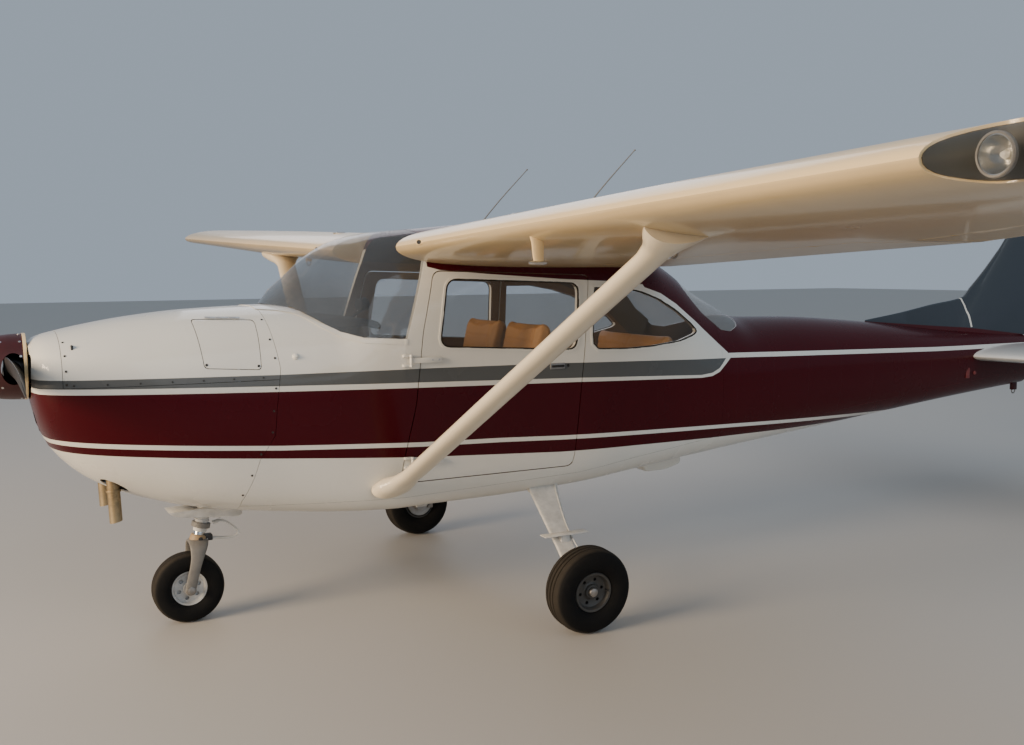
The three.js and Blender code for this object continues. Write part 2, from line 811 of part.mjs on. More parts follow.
function wingRing(y, squash = 1, trim = 0, from = 0, to = 1, inset = 0, steps = 9) {
  const fractions = chordSteps(steps, from, to);
  const { chord } = wingStation(y);
  const half = (u) => Math.max(sectionHalfThickness(u, 0.12) * squash - inset / chord, 0.0015);
  const lean = (u) => trim + u * (1 - 1.4 * trim);
  const upper = fractions.map((u) => wingPoint(y, lean(u), sectionCamber(u) * squash + half(u)));
  const lower = fractions.map((u) => wingPoint(y, lean(u), sectionCamber(u) * squash - half(u)));
  return [...upper.reverse(), ...(inset ? lower : lower.slice(1))];
}

function wingOuter() {
  return loft([
    wingRing(wingRoot - 120),
    wingRing(wingBreak),
    wingRing(wingTip - 110),
    wingRing(wingTip - 45, 0.86, 0.02),
    wingRing(wingTip - 12, 0.6, 0.05),
    wingRing(wingTip, 0.3, 0.09),
  ]);
}

function wingVoid() {
  const slice = (y) => wingRing(y, 1, 0, 0.03, 0.64, wingSkin, 6);
  return loft([slice(wingRoot - 60), slice(wingBreak), slice(wingTip - 160)]);
}

const aileron = { inner: 2606, outer: 5150, at: 0.755 };
const flap = { inner: 592, outer: 2494, at: 0.725, drop: 80 };
const aftEdge = 3000;
const endShare = 1.5; // the gap at an end, against the gap along the nose

function hingeLine(surface) {
  const middle = sectionCamber(surface.at);
  return {
    from: wingPoint(surface.inner, surface.at, middle),
    to: wingPoint(surface.outer, surface.at, middle),
  };
}

function pastEnds(from, to, extra) {
  const step = to.clone().sub(from).normalize().multiplyScalar(extra);
  return [from.clone().sub(step).toArray(), to.clone().add(step).toArray()];
}

function aileronZone(gap) {
  const { from, to } = hingeLine(aileron);
  const half = sectionHalfThickness(aileron.at, 0.12) - 0.0006;
  const radii = [aileron.inner, aileron.outer].map((y) => half * wingStation(y).chord + gap);
  const [start, end] = pastEnds(from, to, 30);
  const nose = rod(start, end, radii[0], radii[1], 20);
  const aft = planPrism([[start[0], start[1]], [aftEdge, start[1]], [aftEdge, end[1]], [end[0], end[1]]], 1500, 2400);
  const span = box(0, aftEdge, aileron.inner - gap * endShare, aileron.outer + gap * endShare, 1500, 2400);
  return joined(nose, aft).intersect(span);
}

// The flap turns about a line below the wing, so its nose is an arc about that line.
function flapHinge() {
  const middle = wingPoint(flap.inner, flap.at, sectionCamber(flap.at) - sectionHalfThickness(flap.at, 0.12));
  const outer = wingPoint(flap.outer, flap.at, sectionCamber(flap.at) - sectionHalfThickness(flap.at, 0.12));
  return {
    from: new THREE.Vector3(middle.x, middle.y, middle.z - flap.drop),
    to: new THREE.Vector3(outer.x, outer.y, outer.z - flap.drop),
  };
}

const flapRadius = flap.drop + 2 * sectionHalfThickness(flap.at, 0.12) * rootChord;

function flapZone(gap) {
  const { from, to } = flapHinge();
  const [start, end] = pastEnds(from, to, 30);
  const nose = rod(start, end, flapRadius + gap, flapRadius + gap, 40);
  const aft = box(from.x, aftEdge, flap.inner - 60, flap.outer + 60, 1500, 2400);
  const span = box(0, aftEdge, flap.inner - gap * endShare, flap.outer + gap * endShare, 1500, 2400);
  return joined(nose, aft).intersect(span);
}

const bracketHalf = 5;

const spanwise = new THREE.Vector3(0, 1, 0);

// A plate that reaches from the fixed surface to the hinge, and the slot that it works in.
function hingePlate(x0, hinge, line = spanwise, halfHeight = 9) {
  const plate = box(x0, hinge.x, hinge.y - bracketHalf, hinge.y + bracketHalf, hinge.z - halfHeight, hinge.z + halfHeight);
  const eye = rod(
    [hinge.x, hinge.y - bracketHalf, hinge.z],
    [hinge.x, hinge.y + bracketHalf, hinge.z],
    halfHeight,
    halfHeight,
    12,
  );
  return swung(joined(plate, eye), hinge, spanwise, line);
}

function hingeSlot(x0, hinge, line = spanwise) {
  const side = bracketHalf + seam;
  const slot = box(x0, hinge.x + 16, hinge.y - side, hinge.y + side, hinge.z - 90, hinge.z + 90);
  return swung(slot, hinge, spanwise, line);
}

const bracketShares = [0.06, 0.5, 0.94];

// A track plate for the flap: a piece of the ring round the flap's hinge line.
function flapTrack(share, sweepFrom, sweepTo, inner, outer, half) {
  const { from, to } = flapHinge();
  const centre = from.clone().lerp(to, share);
  const points = [];
  const steps = 8;
  for (let k = 0; k <= steps; k += 1) {
    const angle = ((sweepFrom + ((sweepTo - sweepFrom) * k) / steps) * Math.PI) / 180;
    points.push([centre.x + outer * Math.cos(angle), centre.z + outer * Math.sin(angle)]);
  }
  for (let k = steps; k >= 0; k -= 1) {
    const angle = ((sweepFrom + ((sweepTo - sweepFrom) * k) / steps) * Math.PI) / 180;
    points.push([centre.x + inner * Math.cos(angle), centre.z + inner * Math.sin(angle)]);
  }
  return swung(sidePrism(points, centre.y - half, centre.y + half), centre, spanwise, to.clone().sub(from));
}

const trackShares = [0.12, 0.88];
const landingLight = { inner: 3640, outer: 4100, depth: 165 };

function lensZone(grow) {
  const { inner, outer, depth } = landingLight;
  const edge = (y) => wingStation(y).x;
  return planPrism(
    [
      [edge(inner) - 100, inner - grow],
      [edge(inner) + 30, inner - grow],
      [edge(inner) + depth + grow, inner + 90],
      [edge(outer) + depth + grow, outer - 90],
      [edge(outer) + 30, outer + grow],
      [edge(outer) - 100, outer + grow],
    ],
    1700,
    2300,
  );
}

function addWings() {
  const outer = wingOuter();
  const hollow = wingVoid();
  const bodyClear = moved(hullOuter, 0, seam, 0);
  const ailerons = outer.intersect(aileronZone(0));
  const flaps = outer.intersect(flapZone(0));
  const { from, to } = hingeLine(aileron);
  const line = to.clone().sub(from);
  const plates = bracketShares.map((share) => {
    const hinge = from.clone().lerp(to, share);
    return hingePlate(hinge.x - 75, hinge, line);
  });
  const slots = bracketShares.map((share) => {
    const hinge = from.clone().lerp(to, share);
    return hingeSlot(hinge.x - 75, hinge, line);
  });
  const tracks = trackShares.map((share) =>
    flapTrack(share, 104, 128, flapRadius - 32, flapRadius + 14, bracketHalf).intersect(outer),
  );
  const trackSlots = trackShares.map((share) =>
    flapTrack(share, 99, 178, flapRadius - 40, flapRadius + 40, bracketHalf + seam),
  );
  const fixed = less(outer, hollow, aileronZone(hingeGap), flapZone(hingeGap));
  const rootCut = box(0, aftEdge, -100, wingRoot, 1000, 2600);
  const wing = mainBody(less(joined(fixed, ...plates, ...tracks), bodyClear, rootCut));
  const fittings = [tieDownBlock(), mainBody(whipAntenna(outer))];
  place('wing_right', mainBody(joined(wing, ...fittings)), paints.white);
  const leftWing = mainBody(less(wing, lensZone(seam)));
  const leftWhole = joined(leftWing, ...fittings, mainBody(pitotMast(outer)));
  place('wing_left', mirrored(mainBody(leftWhole)), paints.white);
  const lens = less(outer, hollow).intersect(lensZone(0));
  place('landing_light_lens', mirrored(mainBody(lens)), paints.glass);
  const aileronSolid = mainBody(less(ailerons, ...slots));
  place('aileron_right', aileronSolid, paints.white);
  place('aileron_left', mirrored(aileronSolid), paints.white);
  const flapSolid = mainBody(less(flaps, ...trackSlots));
  place('flap_right', flapSolid, paints.white);
  place('flap_left', mirrored(flapSolid), paints.white);
  return outer;
}

// A tie-down block with a flat foot, under the wing beside the strut.
const tieDownSpot = { x: 1150, y: 2250, z: 1815 };

function tieDownBlock() {
  const { x, y, z } = tieDownSpot;
  return box(x - 22, x + 22, y - 14, y + 14, z, z + 75);
}

// A streamlined bar between two points, with its chord along the way the aircraft flies.
function fairedBar(from, to, chord, thick, noseCount = 12) {
  const a = new THREE.Vector3(...from);
  const b = new THREE.Vector3(...to);
  const along = b.clone().sub(a).normalize();
  const flight = new THREE.Vector3(1, 0, 0);
  const side = flight.clone().cross(along).normalize();
  const ringAt = (centre, scale = 1) => {
    const ring = [];
    for (let k = 0; k < noseCount; k += 1) {
      const angle = (k / noseCount) * 2 * Math.PI;
      const u = (Math.cos(angle) * chord * scale) / 2;
      const v = ((Math.sin(angle) * thick * scale) / 2) * (1 - 0.35 * Math.cos(angle));
      ring.push(centre.clone().addScaledVector(flight, u).addScaledVector(side, v));
    }
    return ring;
  };
  return { ringAt, a, b };
}

const strutFoot = [756, 548, 690];
const strutHead = [1022, 2452, 1868];

function addStruts(wingSolid) {
  const { ringAt, a, b } = fairedBar(strutFoot, strutHead, 132, 54, 16);
  const at = (share) => a.clone().lerp(b, share);
  const ahead = (share, shift) => at(share).add(new THREE.Vector3(-shift, 0, 0));
  const bar = loft([
    ringAt(ahead(-0.012, 34), 1.6),
    ringAt(ahead(0.014, 31), 1.5),
    ringAt(ahead(0.042, 12), 1.1),
    ringAt(at(0.08)),
    ringAt(at(0.925)),
    ringAt(at(0.955), 1.2),
    ringAt(ahead(0.985, 6), 1.75),
    ringAt(ahead(1.015, 14), 2.25),
  ]);
  const trimmed = less(bar, moved(hullOuter, 0, seam, 0), moved(wingSolid, 0, 0, -seam));
  const strut = mainBody(trimmed);
  place('wing_strut_right', strut, paints.white);
  place('wing_strut_left', mirrored(strut), paints.white);
}

// Tail surfaces

const finTop = 2712;
const finFoot = 1236;
const rudderFoot = 945;
const finLeading = (z) => 5438 + (z - 1505) * 0.845;
const rudderTrailing = (z) => 6575 + (z - 980) * 0.2287;
const rudderHinge = (z) => 6152 + (z - 945) * 0.306;

function finRing(z, squash = 1, inset = 0, from = 0, to = 1) {
  const leading = finLeading(z) + inset * 2;
  const chord = rudderTrailing(z) - finLeading(z);
  const fractions = chordSteps(7, from, to);
  const thickness = 0.075;
  const half = (u) => Math.max(sectionHalfThickness(u, thickness) * chord * squash - inset, 1.6);
  const port = fractions.map((u) => new THREE.Vector3(leading + u * (chord - inset * 2), -half(u), z));
  const starboard = fractions.map((u) => new THREE.Vector3(leading + u * (chord - inset * 2), half(u), z));
  return [...port.reverse(), ...starboard];
}

function finOuter() {
  return loft([
    finRing(rudderFoot - 10),
    finRing(1300),
    finRing(2000),
    finRing(finTop - 70),
    finRing(finTop - 18, 0.85),
    finRing(finTop, 0.45),
  ]);
}

function rudderRadius(z) {
  const chord = rudderTrailing(z) - finLeading(z);
  const at = (rudderHinge(z) - finLeading(z)) / chord;
  return sectionHalfThickness(at, 0.075) * chord - 0.8;
}

function rudderZone(gap) {
  const low = rudderFoot - 60;
  const high = finTop + 40;
  const nose = rod(
    [rudderHinge(low), 0, low],
    [rudderHinge(high), 0, high],
    rudderRadius(rudderFoot) + gap,
    rudderRadius(finTop) + gap,
    20,
  );
  const aft = sidePrism(
    [[rudderHinge(low), low], [7400, low], [7400, high], [rudderHinge(high), high]],
    -300,
    300,
  );
  return joined(nose, aft);
}

const rudderBracketHeights = [1430, 2380];
const rudderLowBracket = 1015;

// The same for the rudder, whose hinge line leans back.
const upright = new THREE.Vector3(0, 0, 1);
const rudderLine = new THREE.Vector3(rudderHinge(1) - rudderHinge(0), 0, 1);

function uprightPlate(x0, z, half = 9) {
  const x = rudderHinge(z);
  const plate = box(x0, x, -half, half, z - bracketHalf, z + bracketHalf);
  const eye = rod([x, 0, z - bracketHalf], [x, 0, z + bracketHalf], half, half, 12);
  return swung(joined(plate, eye), new THREE.Vector3(x, 0, z), upright, rudderLine);
}

function uprightSlot(x0, z) {
  const x = rudderHinge(z);
  const side = bracketHalf + seam;
  return swung(box(x0, x + 16, -90, 90, z - side, z + side), new THREE.Vector3(x, 0, z), upright, rudderLine);
}

function dorsal() {
  const stations = [
    [4412, 4, 3, 1386],
    [4747, 15, 7, 1430],
    [5074, 26, 10, 1483],
    [5300, 34, 12, 1512],
    [5392, 37, 13, 1532],
    [5451, 38, 13, 1598],
    [5533, 38, 13, 1671],
    [5635, 38, 12, 1779],
    [5700, 38, 11, 1822],
  ];
  return loft(
    stations.map(([x, base, top, height]) => [
      new THREE.Vector3(x, -base, 1200),
      new THREE.Vector3(x, base, 1200),
      new THREE.Vector3(x, top, height),
      new THREE.Vector3(x, -top, height),
    ]),
  );
}

function addFinAndRudder() {
  const outer = finOuter();
  const bodyClear = moved(hullOuter, 0, 0, seam);
  const aboveFoot = box(4000, 7400, -300, 300, finFoot, 3000);
  const toSpar = (z) => (rudderHinge(z) - rudderRadius(z) - 22 - finLeading(z)) / (rudderTrailing(z) - finLeading(z));
  const hollow = loft([finFoot - 20, 2000, finTop - 90].map((z) => finRing(z, 1, finSkin, 0, toSpar(z))));
  const shell = less(joined(outer.intersect(aboveFoot), dorsal()), hollow, rudderZone(hingeGap), bodyClear);
  const plates = rudderBracketHeights.map((z) => uprightPlate(rudderHinge(z) - 70, z));
  place('fin', mainBody(joined(mainBody(shell), ...plates)), paints.slate);
  const slots = [...rudderBracketHeights, rudderLowBracket].map((z) => uprightSlot(rudderHinge(z) - 90, z));
  const bladeVoid = loft(
    [rudderFoot + 10, 2000, finTop - 90].map((z) => {
      const chord = rudderTrailing(z) - finLeading(z);
      return finRing(z, 1, finSkin, (rudderHinge(z) + 8 - finLeading(z)) / chord, 0.93);
    }),
  );
  const blade = less(outer.intersect(rudderZone(0)), bladeVoid, box(6000, 7400, -300, 300, 0, rudderFoot), ...slots);
  place('rudder', mainBody(blade), paints.slate);
}

function tailconeFittings() {
  const lowBracket = uprightPlate(5990, rudderLowBracket);
  const tailTie = box(5950, 6000, -14, 14, 808, 885);
  return [lowBracket, tailTie];
}

const stabHinge = { x: 6050, z: 1131 };
const stabSpan = 1727;

function stabRing(y, squash = 1, trim = 0, inset = 0, from = 0, to = 1) {
  const out = Math.min(y / stabSpan, 1);
  const leading = 5262 + 253 * out + trim + inset * 2;
  const trailing = 6610 - 235 * out - trim * 1.2 - inset * 2;
  const thickness = 0.085 - 0.01 * out;
  const chord = trailing - leading;
  const fractions = chordSteps(7, from, to);
  const half = (u) => Math.max(sectionHalfThickness(u, thickness) * chord * squash - inset, 1.6);
  const height = (x) => stabHinge.z - (stabHinge.x - x) * 0.03;
  const top = fractions.map((u) => {
    const x = leading + u * chord;
    return new THREE.Vector3(x, y, height(x) + half(u));
  });
  const bottom = fractions.map((u) => {
    const x = leading + u * chord;
    return new THREE.Vector3(x, y, height(x) - half(u));
  });
  return [...top.reverse(), ...bottom];
}

function stabRadius(y) {
  const out = y / stabSpan;
  const leading = 5262 + 253 * out;
  const chord = 6610 - 235 * out - leading;
  const at = (stabHinge.x - leading) / chord;
  return sectionHalfThickness(at, 0.085 - 0.01 * out) * chord - 0.8;
}

function elevatorZone(gap) {
  const nose = rod(
    [stabHinge.x, 60, stabHinge.z],
    [stabHinge.x, stabSpan + 20, stabHinge.z],
    stabRadius(60) + gap,
    stabRadius(stabSpan) + gap,
    20,
  );
  return joined(nose, box(stabHinge.x, 7000, -10, 2000, 900, 1500));
}

function addTailplane() {
  const outer = loft([
    stabRing(40),
    stabRing(stabSpan - 90),
    stabRing(stabSpan - 30, 0.85, 14),
    stabRing(stabSpan - 6, 0.6, 40),
    stabRing(stabSpan, 0.3, 60),
  ]);
  const hollow = loft([stabRing(30, 1, 0, finSkin, 0, 0.52), stabRing(stabSpan - 110, 1, 0, finSkin, 0, 0.5)]);
  const bodyClear = moved(hullOuter, 0, seam, 0);
  const plateShares = [0.2, 0.9];
  const plates = plateShares.map((share) =>
    hingePlate(stabHinge.x - 75, new THREE.Vector3(stabHinge.x, share * stabSpan, stabHinge.z)),
  );
  const slots = plateShares.map((share) =>
    hingeSlot(stabHinge.x - 75, new THREE.Vector3(stabHinge.x, share * stabSpan, stabHinge.z)),
  );
  const fixed = mainBody(less(outer, hollow, elevatorZone(hingeGap), bodyClear, box(5000, 7000, -200, 60, 900, 1500)));
  const stab = joined(fixed, ...plates);
  place('stabilizer_right', stab, paints.white);
  place('stabilizer_left', mirrored(stab), paints.white);
  const inner = planPrism([[5900, 0], [6800, 0], [6800, 405], [6080, 138], [5900, 138]], 900, 1500);
  const bladeVoid = loft([
    stabRing(160, 1, 0, finSkin, 0.61, 0.63),
    stabRing(430, 1, 0, finSkin, 0.6, 0.94),
    stabRing(stabSpan - 110, 1, 0, finSkin, 0.57, 0.92),
  ]);
  const elevator = mainBody(less(outer.intersect(elevatorZone(0)), bladeVoid, inner, ...slots));
  const tube = rod([stabHinge.x, -150, stabHinge.z], [stabHinge.x, 150, stabHinge.z], 17, 17, 16);
  place('elevator', joined(elevator, mirrored(elevator), tube), paints.white);
}

// Undercarriage

const mainWheel = { x: 1500, y: 1093.5, radius: 209.5, width: 160, axle: 19, camber: 4 };
const noseWheel = { x: -180, radius: 175, width: 126, axle: 16 };
const noseAxleEnd = 98; // both ends stand out of the fork, where a tow bar goes on
const wheelSides = 28;

// Half of a tyre's section, from its bead over the tread, as [radius, distance from the middle].
function tyreProfile(radius, width, rim) {
  const half = width / 2;
  return [
    [rim, half * 0.66],
    [rim + (radius - rim) * 0.42, half],
    [radius - (radius - rim) * 0.2, half * 0.86],
    [radius, half * 0.36],
  ];
}

function tyreSolid(radius, width, rim, centre, axis) {
  const half = tyreProfile(radius, width, rim);
  const whole = [...half, ...[...half].reverse().map(([r, w]) => [r, -w])];
  return turned([...whole, whole[0]], centre, axis, wheelSides);
}

// A wheel's hub, bored to run on an axle of the given radius.
function hubSolid(rim, width, axle, centre, axis) {
  const half = width / 2;
  const bore = (axle + seam) / Math.cos(Math.PI / wheelSides);
  const edge = rim - seam;
  const half1 = [
    [bore, half * 0.52],
    [rim * 0.45, half * 0.5],
    [rim * 0.62, half * 0.28],
    [edge, half * 0.6],
  ];
  const whole = [...half1, ...[...half1].reverse().map(([r, w]) => [r, -w])];
  return turned([...whole, whole[0]], centre, axis, wheelSides);
}

function addMainGear() {
  const camber = (mainWheel.camber * Math.PI) / 180;
  const axis = [0, Math.cos(camber), -Math.sin(camber)];
  const reach = mainWheel.radius * Math.cos(camber) + mainWheel.width * 0.18 * Math.sin(camber);
  const centre = [mainWheel.x, mainWheel.y, reach];
  const along = (distance) => [centre[0], centre[1] + axis[1] * distance, centre[2] + axis[2] * distance];
  const rim = mainWheel.radius * 0.474;
  const tyre = tyreSolid(mainWheel.radius, mainWheel.width, rim, centre, axis);
  const hub = hubSolid(rim, mainWheel.width, mainWheel.axle, centre, axis);
  const legPath = [
    [1618, 395, 640, 90],
    [1612, 440, 592, 88],
    [1590, 560, 500, 72],
    [1556, 740, 385, 55],
    [1524, 900, 285, 44],
    [1502, 982, 228, 40],
    [1500, 1000, 205, 40],
  ];
  const thick = 20;
  const leg = loft(
    legPath.map(([x, y, z, halfWidth], i) => {
      const [, y0, z0] = legPath[Math.max(i - 1, 0)];
      const [, y1, z1] = legPath[Math.min(i + 1, legPath.length - 1)];
      const length = Math.hypot(y1 - y0, z1 - z0);
      const ny = ((z1 - z0) / length) * (thick / 2);
      const nz = (-(y1 - y0) / length) * (thick / 2);
      return [
        new THREE.Vector3(x - halfWidth, y - ny * 0.3, z - nz * 0.3),
        new THREE.Vector3(x - halfWidth + 14, y - ny, z - nz),
        new THREE.Vector3(x + halfWidth - 14, y - ny, z - nz),
        new THREE.Vector3(x + halfWidth, y - ny * 0.3, z - nz * 0.3),
        new THREE.Vector3(x + halfWidth, y + ny * 0.3, z + nz * 0.3),
        new THREE.Vector3(x + halfWidth - 14, y + ny, z + nz),
        new THREE.Vector3(x - halfWidth + 14, y + ny, z + nz),
        new THREE.Vector3(x - halfWidth, y + ny * 0.3, z + nz * 0.3),
      ];
    }),
  );
  const step = box(1434, 1690, 735, 800, 400, 406);
  const stepBracket = box(1530, 1580, 745, 790, 362, 401);
  const legWhole = mainBody(less(joined(leg, stepBracket, step), moved(hullOuter, 0, 0, -seam)));
  place('gear_leg_right', legWhole, paints.white);
  place('gear_leg_left', mirrored(legWhole), paints.white);

  const inner = mainWheel.width * 0.55 * 0.5;
  const stub = rod(along(-78), along(inner + 18), mainWheel.axle, mainWheel.axle, 16);
  const flange = rod(along(-92), along(-inner - 24), 46, 46, 12);
  const disc = rod(along(-inner - 20), along(-inner - 12), 84, 84, 16);
  const caliper = box(mainWheel.x + 50, mainWheel.x + 82, 1004, 1034, reach - 30, reach + 30);
  const axle = less(joined(stub, flange, disc, caliper), moved(leg, 0, seam, 0), leg);
  place('main_axle_right', mainBody(axle), paints.steel);
  place('main_axle_left', mirrored(mainBody(axle)), paints.steel);
  place('main_tyre_right', tyre, paints.tyre);
  place('main_tyre_left', mirrored(tyre), paints.tyre);
  place('main_hub_right', hub, paints.bareMetal);
  place('main_hub_left', mirrored(hub), paints.bareMetal);
}

// The nose leg's line, which is also the steering axis.
const noseRake = 0.2353;
const noseLine = (z) => [noseWheel.x + (z - noseWheel.radius) * noseRake, 0, z];

function addNoseGear() {
  const centre = [noseWheel.x, 0, noseWheel.radius];
  const axis = [0, 1, 0];
  const rim = noseWheel.radius * 0.5;
  place('nose_tyre', tyreSolid(noseWheel.radius, noseWheel.width, rim, centre, axis), paints.tyre);
  place('nose_hub', hubSolid(rim, noseWheel.width, noseWheel.axle, centre, axis), paints.bareMetal);

  const barrelFoot = 452;
  const barrel = rod(noseLine(barrelFoot), noseLine(760), 33, 33, 16);
  const collar = rod(noseLine(600), noseLine(625), 44, 44, 16);
  const mount = box(-60, -seam, -34, 34, 700, 760);
  place('nose_strut', joined(barrel, collar, mount), paints.bareMetal);

  const piston = rod(noseLine(400), noseLine(barrelFoot - seam), 27, 27, 12);
  const crown = loft([
    ellipseRing(noseLine(372), 62, 92),
    ellipseRing(noseLine(392), 58, 90),
    ellipseRing(noseLine(415), 34, 40),
  ]);
  const arm = (side) =>
    loft([
      armRing([noseWheel.x - 2, side * 78, 150], 26, 7),
      armRing([noseWheel.x, side * 78, 200], 34, 8),
      armRing([-150, side * 80, 300], 26, 9),
      armRing(noseLine(385).map((v, i) => (i === 1 ? side * 80 : v)), 40, 11),
    ]);
  const pinEnd = (side) => [noseWheel.x, side * noseAxleEnd, noseWheel.radius];
  const pin = rod(pinEnd(-1), pinEnd(1), noseWheel.axle, noseWheel.axle, 16);
  const linkLow = sidePrism([[-112, 396], [-90, 388], [76, 428], [84, 440], [70, 448]], -13, 13);
  const linkHigh = sidePrism([[-75, 474], [-75, 496], [70, 450], [84, 440], [66, 430]], -13, 13);
  const collarLow = rod(noseLine(472), noseLine(498), 46, 46, 16);
  const boreRadius = (33 + seam) / Math.cos(Math.PI / 16);
  const collarBore = rod(noseLine(440), noseLine(520), boreRadius, boreRadius, 16);
  const fork = joined(piston, crown, arm(1), arm(-1), pin, linkLow, linkHigh, less(collarLow, collarBore));
  place('nose_fork', less(fork, rod(noseLine(barrelFoot), noseLine(700), boreRadius, boreRadius, 16)), paints.bareMetal);

  const plateLine = [[-270, 566], [-262, 512], [40, 505], [72, 515], [72, 600], [24, 600], [24, 561]];
  const plate = sidePrism(plateLine, -70, 70);
  const plateCut = less(plate, rod(noseLine(400), noseLine(700), 62, 62, 12), moved(hullOuter, 0, 0, -seam));
  place('nose_gear_plate', mainBody(plateCut), paints.white);
}

function ellipseRing([x, y, z], halfLength, halfWidth) {
  return Array.from({ length: 12 }, (_, k) => {
    const angle = (k / 12) * 2 * Math.PI;
    return new THREE.Vector3(x + halfLength * Math.cos(angle), y + halfWidth * Math.sin(angle), z);
  });
}

function armRing([x, y, z], halfLength, halfWidth) {
  return Array.from({ length: 8 }, (_, k) => {
    const angle = (k / 8) * 2 * Math.PI;
    return new THREE.Vector3(x + halfLength * Math.cos(angle), y + halfWidth * Math.sin(angle), z);
  });
}

// Cabin fittings

function addCabin() {
  const insideHull = hull(cabinWall + seam);
  const board = box(618, 650, -500, 500, 1010, 1500);
  const shade = sidePrism([[330, 1470], [640, 1478], [700, 1462], [700, 1500], [640, 1516], [330, 1516]], -500, 500);
  const yokes = [-1, 1].map((side) =>
    joined(
      rod([640, side * 250, 1260], [800, side * 250, 1262], 12, 12, 12),
      box(795, 812, side * 250 - 130, side * 250 + 130, 1248, 1274),
      box(795, 812, side * 250 - 130, side * 250 - 106, 1248, 1360),
      box(795, 812, side * 250 + 106, side * 250 + 130, 1248, 1360),
    ),
  );
  const panel = joined(joined(board, shade).intersect(insideHull), ...yokes);
  place('instrument_panel', mainBody(panel), paints.panelPlastic);

  const floorTop = (x) => 596 + Math.max(0, x - 1300) * 0.075;
  const seatAt = (side) => {
    const y = side * 260;
    const frame = joined(
      sidePrism([[1085, floorTop(1085)], [1130, floorTop(1130)], [1150, 800], [1085, 800]], y - 190, y + 190),
      sidePrism([[1440, floorTop(1440)], [1490, floorTop(1490)], [1490, 800], [1440, 800]], y - 190, y + 190),
      box(1060, 1500, y - 215, y + 215, 790, 812),
    );
    const cushion = sidePrism(rounded([[1035, 812 + seam], [1500, 812 + seam], [1500, 905], [1045, 940]], 35, 3), y - 230, y + 230);
    const backOutline = rounded([[1430, 850], [1545, 840], [1690, 1470], [1600, 1500]], 40, 3);
    const back = sidePrism(backOutline, y - 225, y + 225);
    return { frame, cushion: joined(cushion, back) };
  };
  [['left', -1], ['right', 1]].forEach(([name, side]) => {
    const { frame, cushion } = seatAt(side);
    place('seat_frame_' + name, less(frame, hullFloorCut()), paints.steel);
    place('seat_cushion_' + name, cushion, paints.leather);
  });
  const benchFrame = box(1990, 2420, -400, 400, 640, 820);
  place('seat_frame_rear', less(benchFrame, hullFloorCut()), paints.trim);
  const benchPad = sidePrism(rounded([[1950, 820 + seam], [2420, 820 + seam], [2420, 935], [1960, 960]], 40, 3), -415, 415);
  const benchBack = sidePrism(rounded([[2350, 870], [2445, 860], [2560, 1380], [2470, 1400]], 40, 3), -415, 415);
  place('seat_cushion_rear', joined(benchPad, benchBack).intersect(hull(cabinWall + 12)), paints.leather);
}

// Everything that is not cabin space, with a seam's clearance, so that a fitting stands on the floor.
function hullFloorCut() {
  const around = box(900, 2600, -500, 500, 400, 900);
  return less(around, hull(cabinWall + seam));
}

// A whip aerial on the wing's root, leaning aft.
function whipAntenna(wingSolid) {
  const foot = { x: 1695, y: 600 };
  const base = rod([foot.x, foot.y, 1880], [foot.x, foot.y, 1966], 16, 9, 12);
  const whip = rod([foot.x, foot.y, 1960], [foot.x + 395, foot.y + 4, 2378], 3.5, 2.5, 6);
  return joined(less(base, moved(wingSolid, 0, 0, -1)), whip);
}

function pitotMast(wingSolid) {
  const span = 1800;
  const mast = loft([armRing([840, span, 1960], 27, 8), armRing([848, span, 1775], 21, 6)]);
  const tube = rod([806, span, 1776], [882, span, 1776], 8, 8, 10);
  return less(joined(mast, tube), moved(wingSolid, 0, 0, 1));
}

function bellyFairing() {
  const outline = [[2520, 660], [2531, 545], [2556, 506], [2714, 510], [2816, 539], [2826, 660]];
  return less(sidePrism(rounded(outline, 30, 3), -55, 55), moved(hullOuter, 0, 0, 1));
}

addCowl();
addOilDoor();
addFirewallAndEngine();
addExhaust('exhaust_left', -1);
addExhaust('exhaust_right', 1);
addPropeller();
addSpinner();
addFuselage();
addDoors();
const wingSolid = addWings();
addStruts(wingSolid);
addFinAndRudder();
addTailplane();
addMainGear();
addNoseGear();
addCabin();

export default aircraft;
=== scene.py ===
# A four-seat, high-wing light aircraft parked on its fixed undercarriage.
# Stations (x) run aft from the firewall in metres, y to starboard, z up from the ground.
import json
import math

import bmesh
import bpy
from mathutils import Matrix, Vector

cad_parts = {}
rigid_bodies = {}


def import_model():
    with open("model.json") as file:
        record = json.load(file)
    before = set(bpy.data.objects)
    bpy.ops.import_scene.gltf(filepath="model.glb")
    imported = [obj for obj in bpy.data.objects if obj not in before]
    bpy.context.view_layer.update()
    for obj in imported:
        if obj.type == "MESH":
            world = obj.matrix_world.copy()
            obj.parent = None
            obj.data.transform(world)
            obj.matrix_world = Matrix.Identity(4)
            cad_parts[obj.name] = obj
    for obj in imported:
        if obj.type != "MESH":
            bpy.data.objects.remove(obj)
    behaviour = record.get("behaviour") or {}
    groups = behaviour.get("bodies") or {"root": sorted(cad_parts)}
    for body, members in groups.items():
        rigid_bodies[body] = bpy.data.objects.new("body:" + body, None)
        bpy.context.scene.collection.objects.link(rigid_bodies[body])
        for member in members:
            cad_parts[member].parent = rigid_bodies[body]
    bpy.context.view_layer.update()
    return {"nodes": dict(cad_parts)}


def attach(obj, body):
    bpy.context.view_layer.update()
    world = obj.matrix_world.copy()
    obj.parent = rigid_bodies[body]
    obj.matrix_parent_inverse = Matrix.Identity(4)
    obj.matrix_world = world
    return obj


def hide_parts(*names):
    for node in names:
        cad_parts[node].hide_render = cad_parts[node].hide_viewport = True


for leftover in list(bpy.data.objects):
    bpy.data.objects.remove(leftover)

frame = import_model()
cadNodes = frame["nodes"]
midStation = 2.8955  # station that the frame has at x = 0
print("frame loaded")


